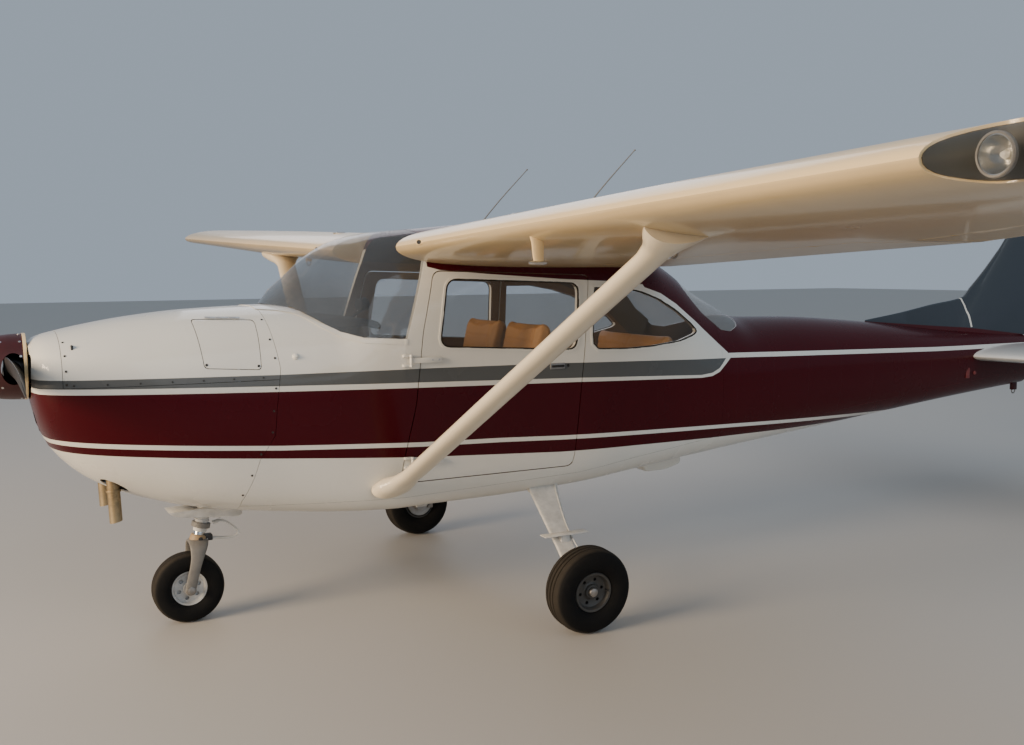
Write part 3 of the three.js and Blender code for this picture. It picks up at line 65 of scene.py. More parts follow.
def here(x, y, z):
    return Vector((x - midStation, y, z))


# Camera and light; the floor is laid at the end

cameraSet = {
    "spot": (-1.098, -5.333, 1.754), "yaw": 27.356, "down": 5.634, "roll": -0.358, "lens": 36.965,
    "sensor": 36, "farthest": 300,
}


def addCamera():
    yaw = math.radians(cameraSet["yaw"])
    down = math.radians(cameraSet["down"])
    roll = math.radians(cameraSet["roll"])
    ahead = Vector((math.sin(yaw) * math.cos(down), math.cos(yaw) * math.cos(down), -math.sin(down)))
    right = Vector((math.cos(yaw), -math.sin(yaw), 0))
    above = right.cross(ahead)
    rolledRight = right * math.cos(roll) + above * math.sin(roll)
    rolledUp = above * math.cos(roll) - right * math.sin(roll)
    bpy.ops.object.camera_add()
    camera = bpy.context.object
    camera.matrix_world = Matrix((
        (rolledRight.x, rolledUp.x, -ahead.x, cameraSet["spot"][0] - midStation),
        (rolledRight.y, rolledUp.y, -ahead.y, cameraSet["spot"][1]),
        (rolledRight.z, rolledUp.z, -ahead.z, cameraSet["spot"][2]),
        (0, 0, 0, 1),
    ))
    camera.data.lens = cameraSet["lens"]
    camera.data.sensor_width = cameraSet["sensor"]
    camera.data.clip_end = cameraSet["farthest"]
    bpy.context.scene.camera = camera


lightSet = {
    "key": {"spot": (-14, -2.5, 4.5), "size": 5, "power": 2400, "colour": (1.0, 0.77, 0.52)},
    "fill": {"spot": (1, -12, 7), "size": 10, "power": 520, "colour": (0.82, 0.92, 1.0)},
    "back": {"spot": (3, 11, 8), "size": 9, "power": 350, "colour": (0.95, 0.95, 1.0)},
}

skySet = {"colour": (0.66, 0.78, 0.93, 1), "strength": 0.5}


def addLights():
    for name, light in lightSet.items():
        bpy.ops.object.light_add(type="AREA", location=light["spot"])
        lamp = bpy.context.object
        lamp.name = name + "Light"
        lamp.data.size = light["size"]
        lamp.data.energy = light["power"]
        lamp.data.color = light["colour"]
        lamp.rotation_euler = (Vector((0, 0, 1)) - Vector(light["spot"])).to_track_quat("-Z", "Y").to_euler()
    world = bpy.data.worlds.new("studio")
    world.use_nodes = True
    sky = world.node_tree.nodes["Background"]
    sky.inputs["Color"].default_value = skySet["colour"]
    sky.inputs["Strength"].default_value = skySet["strength"]
    bpy.context.scene.world = world


addCamera()
addLights()


# A value on a shader: its operators add Math nodes
class Value:
    def __init__(self, shader, socket):
        self.shader = shader
        self.socket = socket

    def maths(self, operation, *others):
        return self.shader.node("ShaderNodeMath", {"operation": operation}, [self, *others])

    def __add__(self, other):
        return self.maths("ADD", other)

    def __sub__(self, other):
        return self.maths("SUBTRACT", other)

    def __rsub__(self, other):
        return self.shader.node("ShaderNodeMath", {"operation": "SUBTRACT"}, [other, self])

    def __mul__(self, other):
        return self.maths("MULTIPLY", other)

    __radd__ = __add__
    __rmul__ = __mul__

    def __truediv__(self, other):
        return self.maths("DIVIDE", other)

    def __mod__(self, other):
        return self.maths("FLOORED_MODULO", other)

    def __pow__(self, other):
        return self.maths("POWER", other)

    def __abs__(self):
        return self.maths("ABSOLUTE")

    def atLeast(self, other):
        return self.maths("MAXIMUM", other)

    def atMost(self, other):
        return self.maths("MINIMUM", other)

    # 1 where the value is above the edge, 0 below it, with a soft step between
    def over(self, edge, soft=0.0015):
        return self.shader.node("ShaderNodeMath", {"operation": "MULTIPLY_ADD", "use_clamp": True},
                                [self - edge, 1 / soft, 0.5])

    def under(self, edge, soft=0.0015):
        return 1 - self.over(edge, soft)


class Shader:
    def __init__(self, name, **uniform):
        self.material = bpy.data.materials.new(name)
        self.material.use_nodes = True
        self.tree = self.material.node_tree
        self.body = self.tree.nodes["Principled BSDF"]
        for socket, value in uniform.items():
            self.body.inputs[socket.replace("_", " ")].default_value = value
        self.spot = self.node("ShaderNodeTexCoord", {}, {}, "Object")
        split = self.node("ShaderNodeSeparateXYZ", {}, [self.spot]).socket.node
        self.x = Value(self, split.outputs[0]) + midStation
        self.y = Value(self, split.outputs[1])
        self.z = Value(self, split.outputs[2])

    # Any other node: its type, its settings, then its sockets' values or links
    def node(self, kind, settings, inputs, output=0):
        made = self.tree.nodes.new(kind)
        for key, value in settings.items():
            if key == "stops":
                ramp = made.color_ramp
                while len(ramp.elements) < len(value):
                    ramp.elements.new(0.5)
                for element, (place, level) in zip(ramp.elements, value):
                    element.position = place
                    element.color = (level, level, level, 1)
            else:
                setattr(made, key, value)
        pairs = enumerate(inputs) if isinstance(inputs, (list, tuple)) else inputs.items()
        for key, value in pairs:
            if isinstance(value, Value):
                self.tree.links.new(value.socket, made.inputs[key])
            else:
                made.inputs[key].default_value = value
        return Value(self, made.outputs[output])

    def noise(self, scale, detail=3, roughness=0.5, stretch=None):
        spot = self.spot
        if stretch:
            spot = self.node("ShaderNodeMapping", {}, {"Vector": spot, "Scale": stretch})
        return self.node("ShaderNodeTexNoise", {},
                         {"Vector": spot, "Scale": scale, "Detail": detail, "Roughness": roughness})

    # A height that changes along the aircraft: pairs of station and value, joined by straight lines
    def along(self, pairs, x=None):
        x = self.x if x is None else x
        first, last = pairs[0][0], pairs[-1][0]
        low = min(v for _, v in pairs)
        span = max(max(v for _, v in pairs) - low, 1e-6)
        stops = [((s - first) / (last - first), (v - low) / span) for s, v in pairs]
        share = (x - first) / (last - first)
        return self.node("ShaderNodeValToRGB", {"stops": stops}, [share]) * span + low

    # Sockets 6 and 7 are the two colours, output 2 the mixed one
    def mix(self, share, first, second):
        a, b = [c if isinstance(c, Value) else (*c, 1) for c in (first, second)]
        return self.node("ShaderNodeMix", {"data_type": "RGBA"}, {0: share, 6: a, 7: b}, 2)

    def bump(self, height, strength=0.3, distance=0.002):
        return self.node("ShaderNodeBump", {}, {"Height": height, "Strength": strength, "Distance": distance})

    def feed(self, **sockets):
        for key, value in sockets.items():
            self.tree.links.new(value.socket, self.body.inputs[key.replace("_", " ")])
        return self.material


# Paint

paintSet = {
    "white": (0.74, 0.72, 0.66),
    "cream": (0.88, 0.665, 0.36),
    "strutCream": (0.82, 0.71, 0.53),
    "tailWhite": (0.72, 0.72, 0.7),
    "maroon": (0.056, 0.0012, 0.0042),
    "grey": (0.095, 0.098, 0.098),
    "slate": (0.038, 0.048, 0.06),
    "spinner": (0.05, 0.006, 0.007),
    "plateRed": (0.2, 0.035, 0.035),
    "leg": (0.68, 0.67, 0.64),
    "castGrey": (0.2, 0.19, 0.175),
    "hubGrey": (0.055, 0.052, 0.048),
    "hubWhite": (0.5, 0.5, 0.49),
    "forkGrey": (0.19, 0.18, 0.165),
    "brass": (0.36, 0.25, 0.14),
    "panelGrey": (0.16, 0.16, 0.165),
    "greenLens": (0.01, 0.18, 0.05),
    "redLens": (0.32, 0.008, 0.008),
    "dust": (0.2, 0.17, 0.13),
    "pinEdge": 0.0015,
}
rivetSet = {"frames": 0.31, "ribs": 0.33, "pitch": 0.028, "radius": 0.0028, "soft": 0.000006}

# Heights of the stripes along the fuselage, by station
greyTop = [(-0.87, 1.283), (0.19, 1.267), (0.89, 1.266), (1.69, 1.256), (2.195, 1.242), (2.64, 1.228),
    (2.854, 1.223), (2.9, 1.223)]
greyFoot = [(-0.87, 1.246), (0.19, 1.214), (0.89, 1.197), (1.794, 1.172), (2.196, 1.156), (2.655, 1.136),
    (2.741, 1.144), (2.799, 1.167), (2.859, 1.223)]
pinFoot = [(-0.87, 1.221), (0.19, 1.188), (0.89, 1.171), (1.794, 1.15), (2.196, 1.136), (2.656, 1.12),
    (2.741, 1.125), (2.799, 1.146), (2.901, 1.226)]
lowPinTop = [(-0.87, 1.006), (-0.78, 1.004), (0.18, 0.933), (0.88, 0.898), (1.32, 0.885), (1.68, 0.869),
    (2.21, 0.852), (2.81, 0.831), (3.5, 0.804), (3.9, 0.79), (4.6, 0.765)]
lowPinFoot = [(s, z - 0.022) for s, z in lowPinTop]
maroonFoot = [(-0.87, 0.955), (0.19, 0.871), (0.88, 0.823), (1.32, 0.8), (1.68, 0.781), (2.21, 0.77),
    (2.82, 0.753), (3.41, 0.741), (3.9, 0.735), (4.4, 0.72), (5.0, 0.66)]
quarterEdge = [(2.17, 1.86), (2.19, 1.7), (2.233, 1.648), (2.36, 1.612), (2.484, 1.55), (2.637, 1.445),
    (2.769, 1.344), (2.878, 1.257), (2.901, 1.226)]
roofEdge = [(0.93, 1.768), (1.00, 1.75), (1.251, 1.729), (1.671, 1.7), (2.009, 1.684), (2.2, 1.665)]
tailPin = [(2.8, 1.226), (2.96, 1.221), (3.3, 1.21), (3.66, 1.2), (4.05, 1.189), (4.45, 1.178),
    (4.89, 1.166), (5.18, 1.161), (6.1, 1.15)]


def darker(colour, share):
    return tuple(c * share for c in colour)


def scuffed(shader, colour, dirt=0.05):
    patches = shader.noise(1.7, 5, 0.6)
    streaks = shader.noise(3.0, 4, 0.65, (0.6, 0.6, 7))
    share = (patches * streaks * 2.2).over(0.66, 1.1) * dirt
    return shader.mix(share, colour, paintSet["dust"])


# A slow ripple, and the rivets' dimples and laps along the frames
def skinBump(shader):
    ripple = shader.noise(5.5, 2, 0.4, (1.0, 1.0, 0.7)) * 0.35
    grain = shader.noise(260, 2, 0.5) * 0.02
    acrossFrame = abs((shader.x % rivetSet["frames"]) - rivetSet["frames"] / 2)
    alongFrame = abs((shader.z % rivetSet["pitch"]) - rivetSet["pitch"] / 2)
    away = acrossFrame * acrossFrame + alongFrame * alongFrame
    rivet = away.under(rivetSet["radius"] ** 2, rivetSet["soft"])
    lap = acrossFrame.under(0.0007, 0.0006)
    return shader.bump(ripple + grain + rivet * 0.1 - lap * 0.16, 0.35, 0.006)


# Roughness that wanders a little over the paint
def gloss(shader, low=0.24, spread=0.12):
    return shader.noise(2.5, 4, 0.6) * spread + low


def fuselagePaint():
    shader = Shader("fuselagePaint", Coat_Roughness=0.06, Specular_IOR_Level=0.12)
    x, z, soft = shader.x, shader.z, paintSet["pinEdge"]
    between = lambda low, high: z.over(shader.along(low), soft) * z.under(shader.along(high), soft)
    grey = between(greyFoot, greyTop) * x.under(2.88, soft)
    maroonSide = between(maroonFoot, pinFoot)
    lowPin = between(lowPinFoot, lowPinTop)
    tailTop = z.over(shader.along(maroonFoot), soft) * x.over(2.899, soft)
    edgeX = shader.along([(zz, ss) for ss, zz in reversed(quarterEdge)], z)
    behindQuarter = (x - edgeX).over(0, soft) * z.over(1.226, soft)
    roof = z.over(shader.along(roofEdge), soft) * x.over(0.935, soft)
    pinRise = z - shader.along(tailPin)
    tailLine = pinRise.over(0, soft) * pinRise.under(0.028, soft) * x.over(2.885, soft)
    maroon = maroonSide.atLeast(tailTop).atLeast(behindQuarter).atLeast(roof) * (1 - lowPin) * (1 - tailLine)
    colour = shader.mix(grey, scuffed(shader, paintSet["white"]), paintSet["grey"])
    deep = shader.mix(shader.noise(1.3, 4, 0.6), paintSet["maroon"], darker(paintSet["maroon"], 0.8))
    return shader.feed(Base_Color=shader.mix(maroon, colour, deep), Roughness=gloss(shader, 0.22, 0.1),
                       Coat_Weight=0.45 - maroon * 0.38 - grey * 0.2, Normal=skinBump(shader))


def plainPaint(name, colour, dirt=0.05, coat=0.45):
    shader = Shader(name, Coat_Weight=coat, Coat_Roughness=0.08, Specular_IOR_Level=0.3)
    return shader.feed(Base_Color=scuffed(shader, paintSet[colour], dirt), Roughness=gloss(shader),
                       Normal=skinBump(shader))


# Wing skins: rib rows run along x and spar rows along y, some have beads, and faces that look down are
# darkened in patches: painted shade, with some oil grime
def wingPaint(name, bead=0, tone="cream"):
    shader = Shader(name, Coat_Weight=0.45, Coat_Roughness=0.08)
    ripple = shader.noise(4.0, 2, 0.4, (0.5, 1.2, 1)) * 0.4
    rib = abs((shader.y % rivetSet["ribs"]) - rivetSet["ribs"] / 2)
    rivetAlong = abs((shader.x % 0.03) - 0.015)
    rivets = (rib * rib + rivetAlong * rivetAlong).under(0.003 ** 2, rivetSet["soft"])
    height = ripple + rivets * 0.1 - rib.under(0.0008, 0.0006) * 0.12
    if bead:
        height = height + (1 - abs((shader.y % bead) - bead / 2).atMost(bead * 0.22) / (bead * 0.22)) * 0.9
    # Painted shade with some grime: faces that look down take a much darker tone, in patches
    normal = shader.node("ShaderNodeNewGeometry", {}, {}, "Normal")
    below = shader.node("ShaderNodeSeparateXYZ", {}, [normal], "Z").under(-0.1, 0.5)
    undersideShadeAndGrime = shader.noise(1.1, 5, 0.6, (0.5, 1.6, 1)) * 0.35 + 0.35
    colour = shader.mix(below * undersideShadeAndGrime, scuffed(shader, paintSet[tone], 0.06), darker(paintSet[tone], 0.32))
    return shader.feed(Base_Color=colour, Roughness=gloss(shader), Normal=shader.bump(height, 0.4, 0.006))


def bareMetal(name, colour, roughness=0.35, grain=180):
    shader = Shader(name, Metallic=1.0)
    brushed = shader.noise(grain, 3, 0.6, (1, 1, 0.1))
    stain = shader.noise(9, 5, 0.7)
    tone = shader.mix(stain.over(0.55, 0.4), colour, darker(colour, 0.55))
    return shader.feed(Base_Color=tone, Roughness=brushed * 0.2 + (roughness - 0.1) + stain * 0.1,
                       Normal=shader.bump(brushed, 0.12, 0.001))


# A wheel's centre (station, height) and radius put road dust on its tread
def rubber(name, colour=(0.005, 0.005, 0.0055), wheel=None):
    shader = Shader(name, Specular_IOR_Level=0.15)
    dust = shader.noise(14, 6, 0.7)
    pores = shader.noise(420, 2, 0.5)
    tone = shader.mix(dust.over(0.56, 0.5) * 0.12, colour, (0.055, 0.05, 0.042))
    if wheel:
        across, up = shader.x - wheel[0], shader.z - wheel[1]
        reach = (across * across + up * up) ** 0.5
        worn = reach.over(wheel[2] * 0.945, 0.008) * (dust * 0.5 + 0.25)
        tone = shader.mix(worn * 0.6, tone, (0.09, 0.075, 0.058))
    return shader.feed(Base_Color=tone, Roughness=dust * 0.15 + 0.74, Normal=shader.bump(pores, 0.25, 0.0006))


# Paint on a small casting: fine orange peel, chips of bare metal and patches of grime
def smallPaint(name, colour, roughness=0.42, chips=0.25):
    shader = Shader(name)
    peel = shader.noise(150, 2, 0.5)
    grime = shader.noise(19, 5, 0.65)
    tone = shader.mix(grime.over(0.54, 0.35) * 0.5, paintSet[colour], darker(paintSet[colour], 0.45))
    tone = shader.mix(shader.noise(85, 4, 0.7).over(0.72, 0.03) * chips, tone, (0.42, 0.41, 0.39))
    return shader.feed(Base_Color=tone, Roughness=grime * 0.25 + roughness,
        Normal=shader.bump(peel, 0.18, 0.0008))


def signalLens(name, colour):
    shader = Shader(name, Coat_Weight=0.8, Coat_Roughness=0.03)
    ribs = shader.noise(9, 3, 0.5)
    tone = shader.mix(ribs, paintSet[colour], darker(paintSet[colour], 0.5))
    return shader.feed(Base_Color=tone, Roughness=ribs * 0.1 + 0.12)


# Steel that has run hot: brown with blue and grey scale towards the open end
def heatedSteel(name):
    shader = Shader(name, Metallic=0.85)
    scale = shader.noise(34, 6, 0.7)
    hot = shader.z.under(0.66, 0.12)
    tone = shader.mix(scale.over(0.55, 0.4), (0.36, 0.27, 0.15), (0.13, 0.095, 0.055))
    tone = shader.mix(hot * scale, tone, (0.4, 0.33, 0.22))
    return shader.feed(Base_Color=tone, Roughness=scale * 0.25 + 0.42, Normal=shader.bump(scale, 0.25, 0.001))


# Painted dark reflection: the glass grows darker and more opaque down the front of a windshield
def clearGlass(name, tint, alpha, reflectionDarkening=0):
    shader = Shader(name, Specular_IOR_Level=0.8, Coat_Weight=0.7, Coat_Roughness=0.03)
    haze = shader.noise(3.2, 5, 0.6)
    # Painted reflection: the lower front of the glass is made darker and more opaque
    darkReflection = shader.z.under(1.67, 0.16) * shader.x.under(0.56, 0.16) * reflectionDarkening
    return shader.feed(Base_Color=shader.mix(haze, tint, tuple(c * 1.6 + 0.02 for c in tint)),
                       Roughness=haze * 0.06 + 0.03, Alpha=haze * 0.1 + alpha + darkReflection)


def plastic(name, colour, roughness=0.55, grain=350):
    shader = Shader(name)
    fine = shader.noise(grain, 2, 0.5)
    wear = shader.noise(11, 4, 0.6)
    tone = shader.mix(wear * 0.3, colour, tuple(min(c * 1.9 + 0.01, 1) for c in colour))
    return shader.feed(Base_Color=tone, Roughness=wear * 0.15 + roughness,
        Normal=shader.bump(fine, 0.2, 0.0005))


def cloth(name, colour, pitch=0.004):
    shader = Shader(name, Sheen_Weight=0.25)
    warp = abs((shader.x % pitch) - pitch / 2)
    weft = abs((shader.z % pitch) - pitch / 2) + abs((shader.y % pitch) - pitch / 2)
    fuzz = shader.noise(500, 3, 0.6)
    worn = shader.noise(6, 5, 0.6)
    tone = shader.mix(worn * 0.35, colour, darker(colour, 0.7))
    return shader.feed(Base_Color=tone, Roughness=fuzz * 0.1 + 0.85,
                       Normal=shader.bump((warp + weft) * 200 + fuzz, 0.3, 0.0006))


def leather(name, colour):
    shader = Shader(name)
    cells = shader.node("ShaderNodeTexVoronoi", {"feature": "DISTANCE_TO_EDGE"},
        {"Vector": shader.spot, "Scale": 260})
    creases = shader.noise(22, 6, 0.65)
    worn = shader.noise(5, 5, 0.6)
    tone = shader.mix(worn.over(0.5, 0.6) * 0.5, colour, darker(colour, 0.62))
    return shader.feed(Base_Color=tone, Roughness=worn * 0.2 + 0.4,
                       Normal=shader.bump(cells * 4 + creases * 1.6, 0.35, 0.0012))


looks = {
    "fuselage": fuselagePaint(),
    "white": plainPaint("whitePaint", "white"),
    "cream": plainPaint("creamPaint", "cream"),
    "strut": plainPaint("strutPaint", "strutCream"),
    "maroon": plainPaint("maroonPaint", "maroon", 0.01, coat=0.08),
    "wing": wingPaint("wingPaint"),
    "beaded": wingPaint("beadedPaint", 0.085),
    "tailplane": wingPaint("tailplanePaint", 0, "tailWhite"),
    "tailBeaded": wingPaint("tailBeadedPaint", 0.085, "tailWhite"),
    "bare": bareMetal("bareAluminium", (0.66, 0.66, 0.67)),
    "steel": bareMetal("dullSteel", (0.4, 0.38, 0.36), 0.45),
    "casting": bareMetal("castMetal", (0.22, 0.22, 0.22), 0.6, 60),
    "mainTyre": rubber("mainTyreRubber", wheel=(1.5, 0.211, 0.2095)),
    "noseTyreLook": rubber("noseTyreRubber", wheel=(-0.18, 0.175, 0.175)),
    "leg": smallPaint("legPaint", "leg", 0.36, 0.08),
    "grit": smallPaint("stepGrit", "leg", 0.75, 0.02),
    "castGrey": smallPaint("castGreyPaint", "castGrey"),
    "hubGrey": smallPaint("mainHubPaint", "hubGrey", 0.4),
    "hubWhite": smallPaint("noseHubPaint", "hubWhite", 0.4),
    "forkGrey": smallPaint("forkPaint", "forkGrey"),
    "brass": smallPaint("clampPaint", "brass"),
    "panelGrey": smallPaint("panelPaint", "panelGrey", 0.55, 0.05),
    "spinner": smallPaint("spinnerPaint", "spinner", 0.3, 0.12),
    "redPlate": smallPaint("platePaint", "plateRed", 0.45, 0.05),
    "redLens": signalLens("redLampLens", "redLens"),
    "greenLens": signalLens("greenLampLens", "greenLens"),
    "exhaust": heatedSteel("stackSteel"),
    "seal": rubber("windowSeal", (0.03, 0.026, 0.022)),
    "glass": clearGlass("windowGlass", (0.1, 0.105, 0.11), 0.05),
    # The windshield's last value is the strength of its painted dark reflection
    "screenGlass": clearGlass("windshieldGlass", (0.06, 0.068, 0.078), 0.22, 0.3),
    "rearGlass": clearGlass("rearWindowGlass", (0.34, 0.32, 0.3), 0.22),
    "lens": clearGlass("lampLens", (0.06, 0.06, 0.052), 0.04),
    "chrome": bareMetal("polishedSteel", (0.78, 0.78, 0.77), 0.16),
    "blade": bareMetal("bladePaint", (0.085, 0.085, 0.09), 0.42, 90),
    "screw": bareMetal("screwSteel", (0.075, 0.07, 0.065), 0.5, 240),
    "mirror": bareMetal("lampReflector", (0.86, 0.85, 0.8), 0.14, 40),
    "lampGlow": plastic("frostedBulb", (0.8, 0.79, 0.74), 0.2, 90),
    "lampRoom": plastic("lampCavity", (0.032, 0.03, 0.022), 0.5, 120),
    "dial": plastic("dialFace", (0.012, 0.012, 0.013), 0.35, 500),
    "webbing": cloth("beltWebbing", (0.05, 0.05, 0.055), 0.0022),
    "lining": cloth("cabinLining", (0.17, 0.105, 0.055)),
    "carpet": cloth("cabinCarpet", (0.1, 0.085, 0.07), 0.006),
    "leather": leather("tanLeather", (0.52, 0.27, 0.095)),
    "black": plastic("blackPlastic", (0.018, 0.018, 0.02)),
    "headliner": cloth("headliner", (0.1, 0.078, 0.055)),
}
print("materials made")


# Shape tools

def activate(piece):
    bpy.ops.object.select_all(action="DESELECT")
    piece.select_set(True)
    bpy.context.view_layer.objects.active = piece


def meshPiece(name, points, faces):
    mesh = bpy.data.meshes.new(name)
    mesh.from_pydata([tuple(p) for p in points], [], faces)
    shape = bmesh.new()
    shape.from_mesh(mesh)
    bmesh.ops.recalc_face_normals(shape, faces=shape.faces)
    shape.to_mesh(mesh)
    shape.free()
    piece = bpy.data.objects.new(name, mesh)
    bpy.context.scene.collection.objects.link(piece)
    return piece


# Cosines and sines of evenly spaced turns
def circle(count):
    return [(math.cos(2 * math.pi * k / count), math.sin(2 * math.pi * k / count)) for k in range(count)]


# From 0 to 1, closer together at both ends
def cosineShares(steps):
    return [0.5 - 0.5 * math.cos(math.pi * k / steps) for k in range(steps + 1)]


# Stands what was made along z up at a spot, along a direction
def stood(spot, way):
    return Matrix.Translation(spot) @ Vector(way).to_track_quat("Z", "Y").to_matrix().to_4x4()


# A skin over rings with the same number of points, closed at both ends
def lofted(name, rings):
    count = len(rings[0])
    points = [p for ring in rings for p in ring]
    faces = []
    for r in range(len(rings) - 1):
        for k in range(count):
            after = (k + 1) % count
            faces.append((r * count + k, r * count + after, (r + 1) * count + after, (r + 1) * count + k))
    faces.append(tuple(range(count)))
    last = (len(rings) - 1) * count
    faces.append(tuple(range(last, last + count)))
    return meshPiece(name, points, faces)


# An outline given in two axes, pulled along the third from low to high
def slab(name, outline, plane, low, high):
    def spot(u, v, w):
        if plane == "side":
            return here(u, w, v)
        if plane == "plan":
            return here(u, v, w)
        return here(w, u, v)
    count = len(outline)
    points = [spot(u, v, low) for u, v in outline] + [spot(u, v, high) for u, v in outline]
    faces = [tuple(range(count)), tuple(range(count, 2 * count))]
    faces += [(k, (k + 1) % count, count + (k + 1) % count, count + k) for k in range(count)]
    return meshPiece(name, points, faces)


def block(x0, x1, y0, y1, z0, z1):
    return slab("tool", [(x0, z0), (x1, z0), (x1, z1), (x0, z1)], "side", y0, y1)


def bar(name, start, end, radius, sides=32, endRadius=None):
    a, b = Vector(start), Vector(end)
    bpy.ops.object.select_all(action="DESELECT")
    bpy.ops.mesh.primitive_cone_add(vertices=sides, radius1=radius, depth=(b - a).length,
                                    radius2=radius if endRadius is None else endRadius)
    piece = bpy.context.object
    piece.name = name
    piece.data.transform(stood((a + b) / 2, b - a))
    return piece


def carve(piece, tool, operation="DIFFERENCE", keepTool=False):
    step = piece.modifiers.new("carve", "BOOLEAN")
    step.solver = "MANIFOLD"
    step.operation = operation
    step.object = tool
    activate(piece)
    bpy.ops.object.modifier_apply(modifier=step.name)
    if not keepTool:
        bpy.data.objects.remove(tool)
    return piece


# The share of a piece that lies in a zone
def within(piece, zone, keepTool=False):
    return carve(piece, zone, "INTERSECT", keepTool)


def copyOf(piece, name):
    twin = bpy.data.objects.new(name, piece.data.copy())
    bpy.context.scene.collection.objects.link(twin)
    return twin


def turnedOver(piece):
    piece.data.transform(Matrix.Scale(-1, 4, (0, 1, 0)))
    piece.data.flip_normals()
    return piece


# The same piece on the other side
def otherSide(piece, name):
    return turnedOver(copyOf(piece, name))


def largestBody(piece):
    shape = bmesh.new()
    shape.from_mesh(piece.data)
    groups, seen = [], set()
    for face in shape.faces:
        if face in seen:
            continue
        group, queue = [], [face]
        seen.add(face)
        while queue:
            current = queue.pop()
            group.append(current)
            for edge in current.edges:
                for neighbour in edge.link_faces:
                    if neighbour not in seen:
                        seen.add(neighbour)
                        queue.append(neighbour)
        groups.append(group)
    groups.sort(key=len, reverse=True)
    crumbs = [face for group in groups[1:] for face in group]
    bmesh.ops.delete(shape, geom=crumbs, context="FACES")
    shape.to_mesh(piece.data)
    shape.free()
    return piece


def painted(piece, *names):
    piece.data.materials.clear()
    for name in names:
        piece.data.materials.append(looks[name])
    return piece


# Two looks, outside and inside: faces that look in towards the cabin get the second
def lined(piece, outside, inside, axisHeight=1.15):
    painted(piece, outside, inside)
    for face in piece.data.polygons:
        outwards = Vector((0, face.center.y, face.center.z - axisHeight))
        face.material_index = 1 if face.normal.dot(outwards.normalized()) < -0.35 else 0
    return piece


def finished(piece, slotName, *nodes, look=None, body="airframe", angle=32):
    if look:
        painted(piece, look)
    activate(piece)
    bpy.ops.object.shade_smooth_by_angle(angle=math.radians(angle))
    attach(piece, body)
    if nodes:
        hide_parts(*nodes)
    return piece


# Finishes a right-hand piece and its mirror image. A body or node that ends in _ gets the side's name.
def onBothSides(piece, slotName, node=None, look=None, body="airframe", angle=32):
    if look:
        painted(piece, look)
    other = otherSide(piece, piece.name.replace("right", "left").replace("Right", "Left"))
    for made, side in ((piece, "right"), (other, "left")):
        nodes = [node + side] if node else []
        finished(made, slotName, *nodes, body=body + side if body.endswith("_") else body, angle=angle)


def joinedPiece(name, pieces):
    bpy.ops.object.select_all(action="DESELECT")
    for piece in pieces:
        piece.select_set(True)
    bpy.context.view_layer.objects.active = pieces[0]
    bpy.ops.object.join()
    pieces[0].name = name
    return pieces[0]


# Joins pieces that are given by their look
def assembled(name, **groups):
    return joinedPiece(name, [painted(piece, look) for look, group in groups.items() for piece in group])


def rounded(points, radius, steps=5):
    soft = []
    for i, corner in enumerate(points):
        mid = Vector(corner)
        into = Vector(points[i - 1]) - mid
        out = Vector(points[(i + 1) % len(points)]) - mid
        start = mid + into.normalized() * min(radius, into.length * 0.45)
        end = mid + out.normalized() * min(radius, out.length * 0.45)
        for k in range(steps + 1):
            t = k / steps
            p = start * (1 - t) ** 2 + mid * 2 * t * (1 - t) + end * t * t
            soft.append((p.x, p.y))
    return soft


def grown(points, distance):
    area = sum(points[i - 1][0] * p[1] - p[0] * points[i - 1][1] for i, p in enumerate(points)) / 2
    side = distance * math.copysign(1, area)
    moved = []
    for i, corner in enumerate(points):
        mid = Vector(corner)
        into = (mid - Vector(points[i - 1])).normalized()
        out = (Vector(points[(i + 1) % len(points)]) - mid).normalized()
        bisector = Vector((into.y, -into.x)) + Vector((out.y, -out.x))
        p = mid + bisector * (2 * side / bisector.length_squared)
        moved.append((p.x, p.y))
    return moved


# Monotone curve through table values
def through(table, x):
    stations = [row[0] for row in table]
    if x <= stations[0]:
        return list(table[0][1:])
    if x >= stations[-1]:
        return list(table[-1][1:])
    i = max(k for k in range(len(stations) - 1) if stations[k] <= x)
    made = []
    for column in range(1, len(table[0])):
        value = [row[column] for row in table]
        slope = [(value[k + 1] - value[k]) / (stations[k + 1] - stations[k]) for k in range(len(table) - 1)]

        def tangent(k):
            if k == 0:
                return slope[0]
            if k == len(table) - 1:
                return slope[-1]
            if slope[k - 1] * slope[k] <= 0:
                return 0
            h0 = stations[k] - stations[k - 1]
            h1 = stations[k + 1] - stations[k]
            w0, w1 = 2 * h1 + h0, h1 + 2 * h0
            return (w0 + w1) / (w0 / slope[k - 1] + w1 / slope[k])
        h = stations[i + 1] - stations[i]
        t = (x - stations[i]) / h
        made.append((2 * t ** 3 - 3 * t ** 2 + 1) * value[i] + (t ** 3 - 2 * t ** 2 + t) * h * tangent(i)
                    + (3 * t ** 2 - 2 * t ** 3) * value[i + 1] + (t ** 3 - t ** 2) * h * tangent(i + 1))
    return made


# A new primitive, alone in the selection, with its place and size put into its mesh
def primitive(kind, name, **size):
    bpy.ops.object.select_all(action="DESELECT")
    adders = {"cube": bpy.ops.mesh.primitive_cube_add, "rod": bpy.ops.mesh.primitive_cylinder_add,
              "circle": bpy.ops.mesh.primitive_circle_add, "ball": bpy.ops.mesh.primitive_uv_sphere_add,
              "torus": bpy.ops.mesh.primitive_torus_add, "cone": bpy.ops.mesh.primitive_cone_add}
    adders[kind](**size)
    piece = bpy.context.object
    piece.name = name
    bpy.ops.object.transform_apply(location=True, rotation=True, scale=True)
    return piece


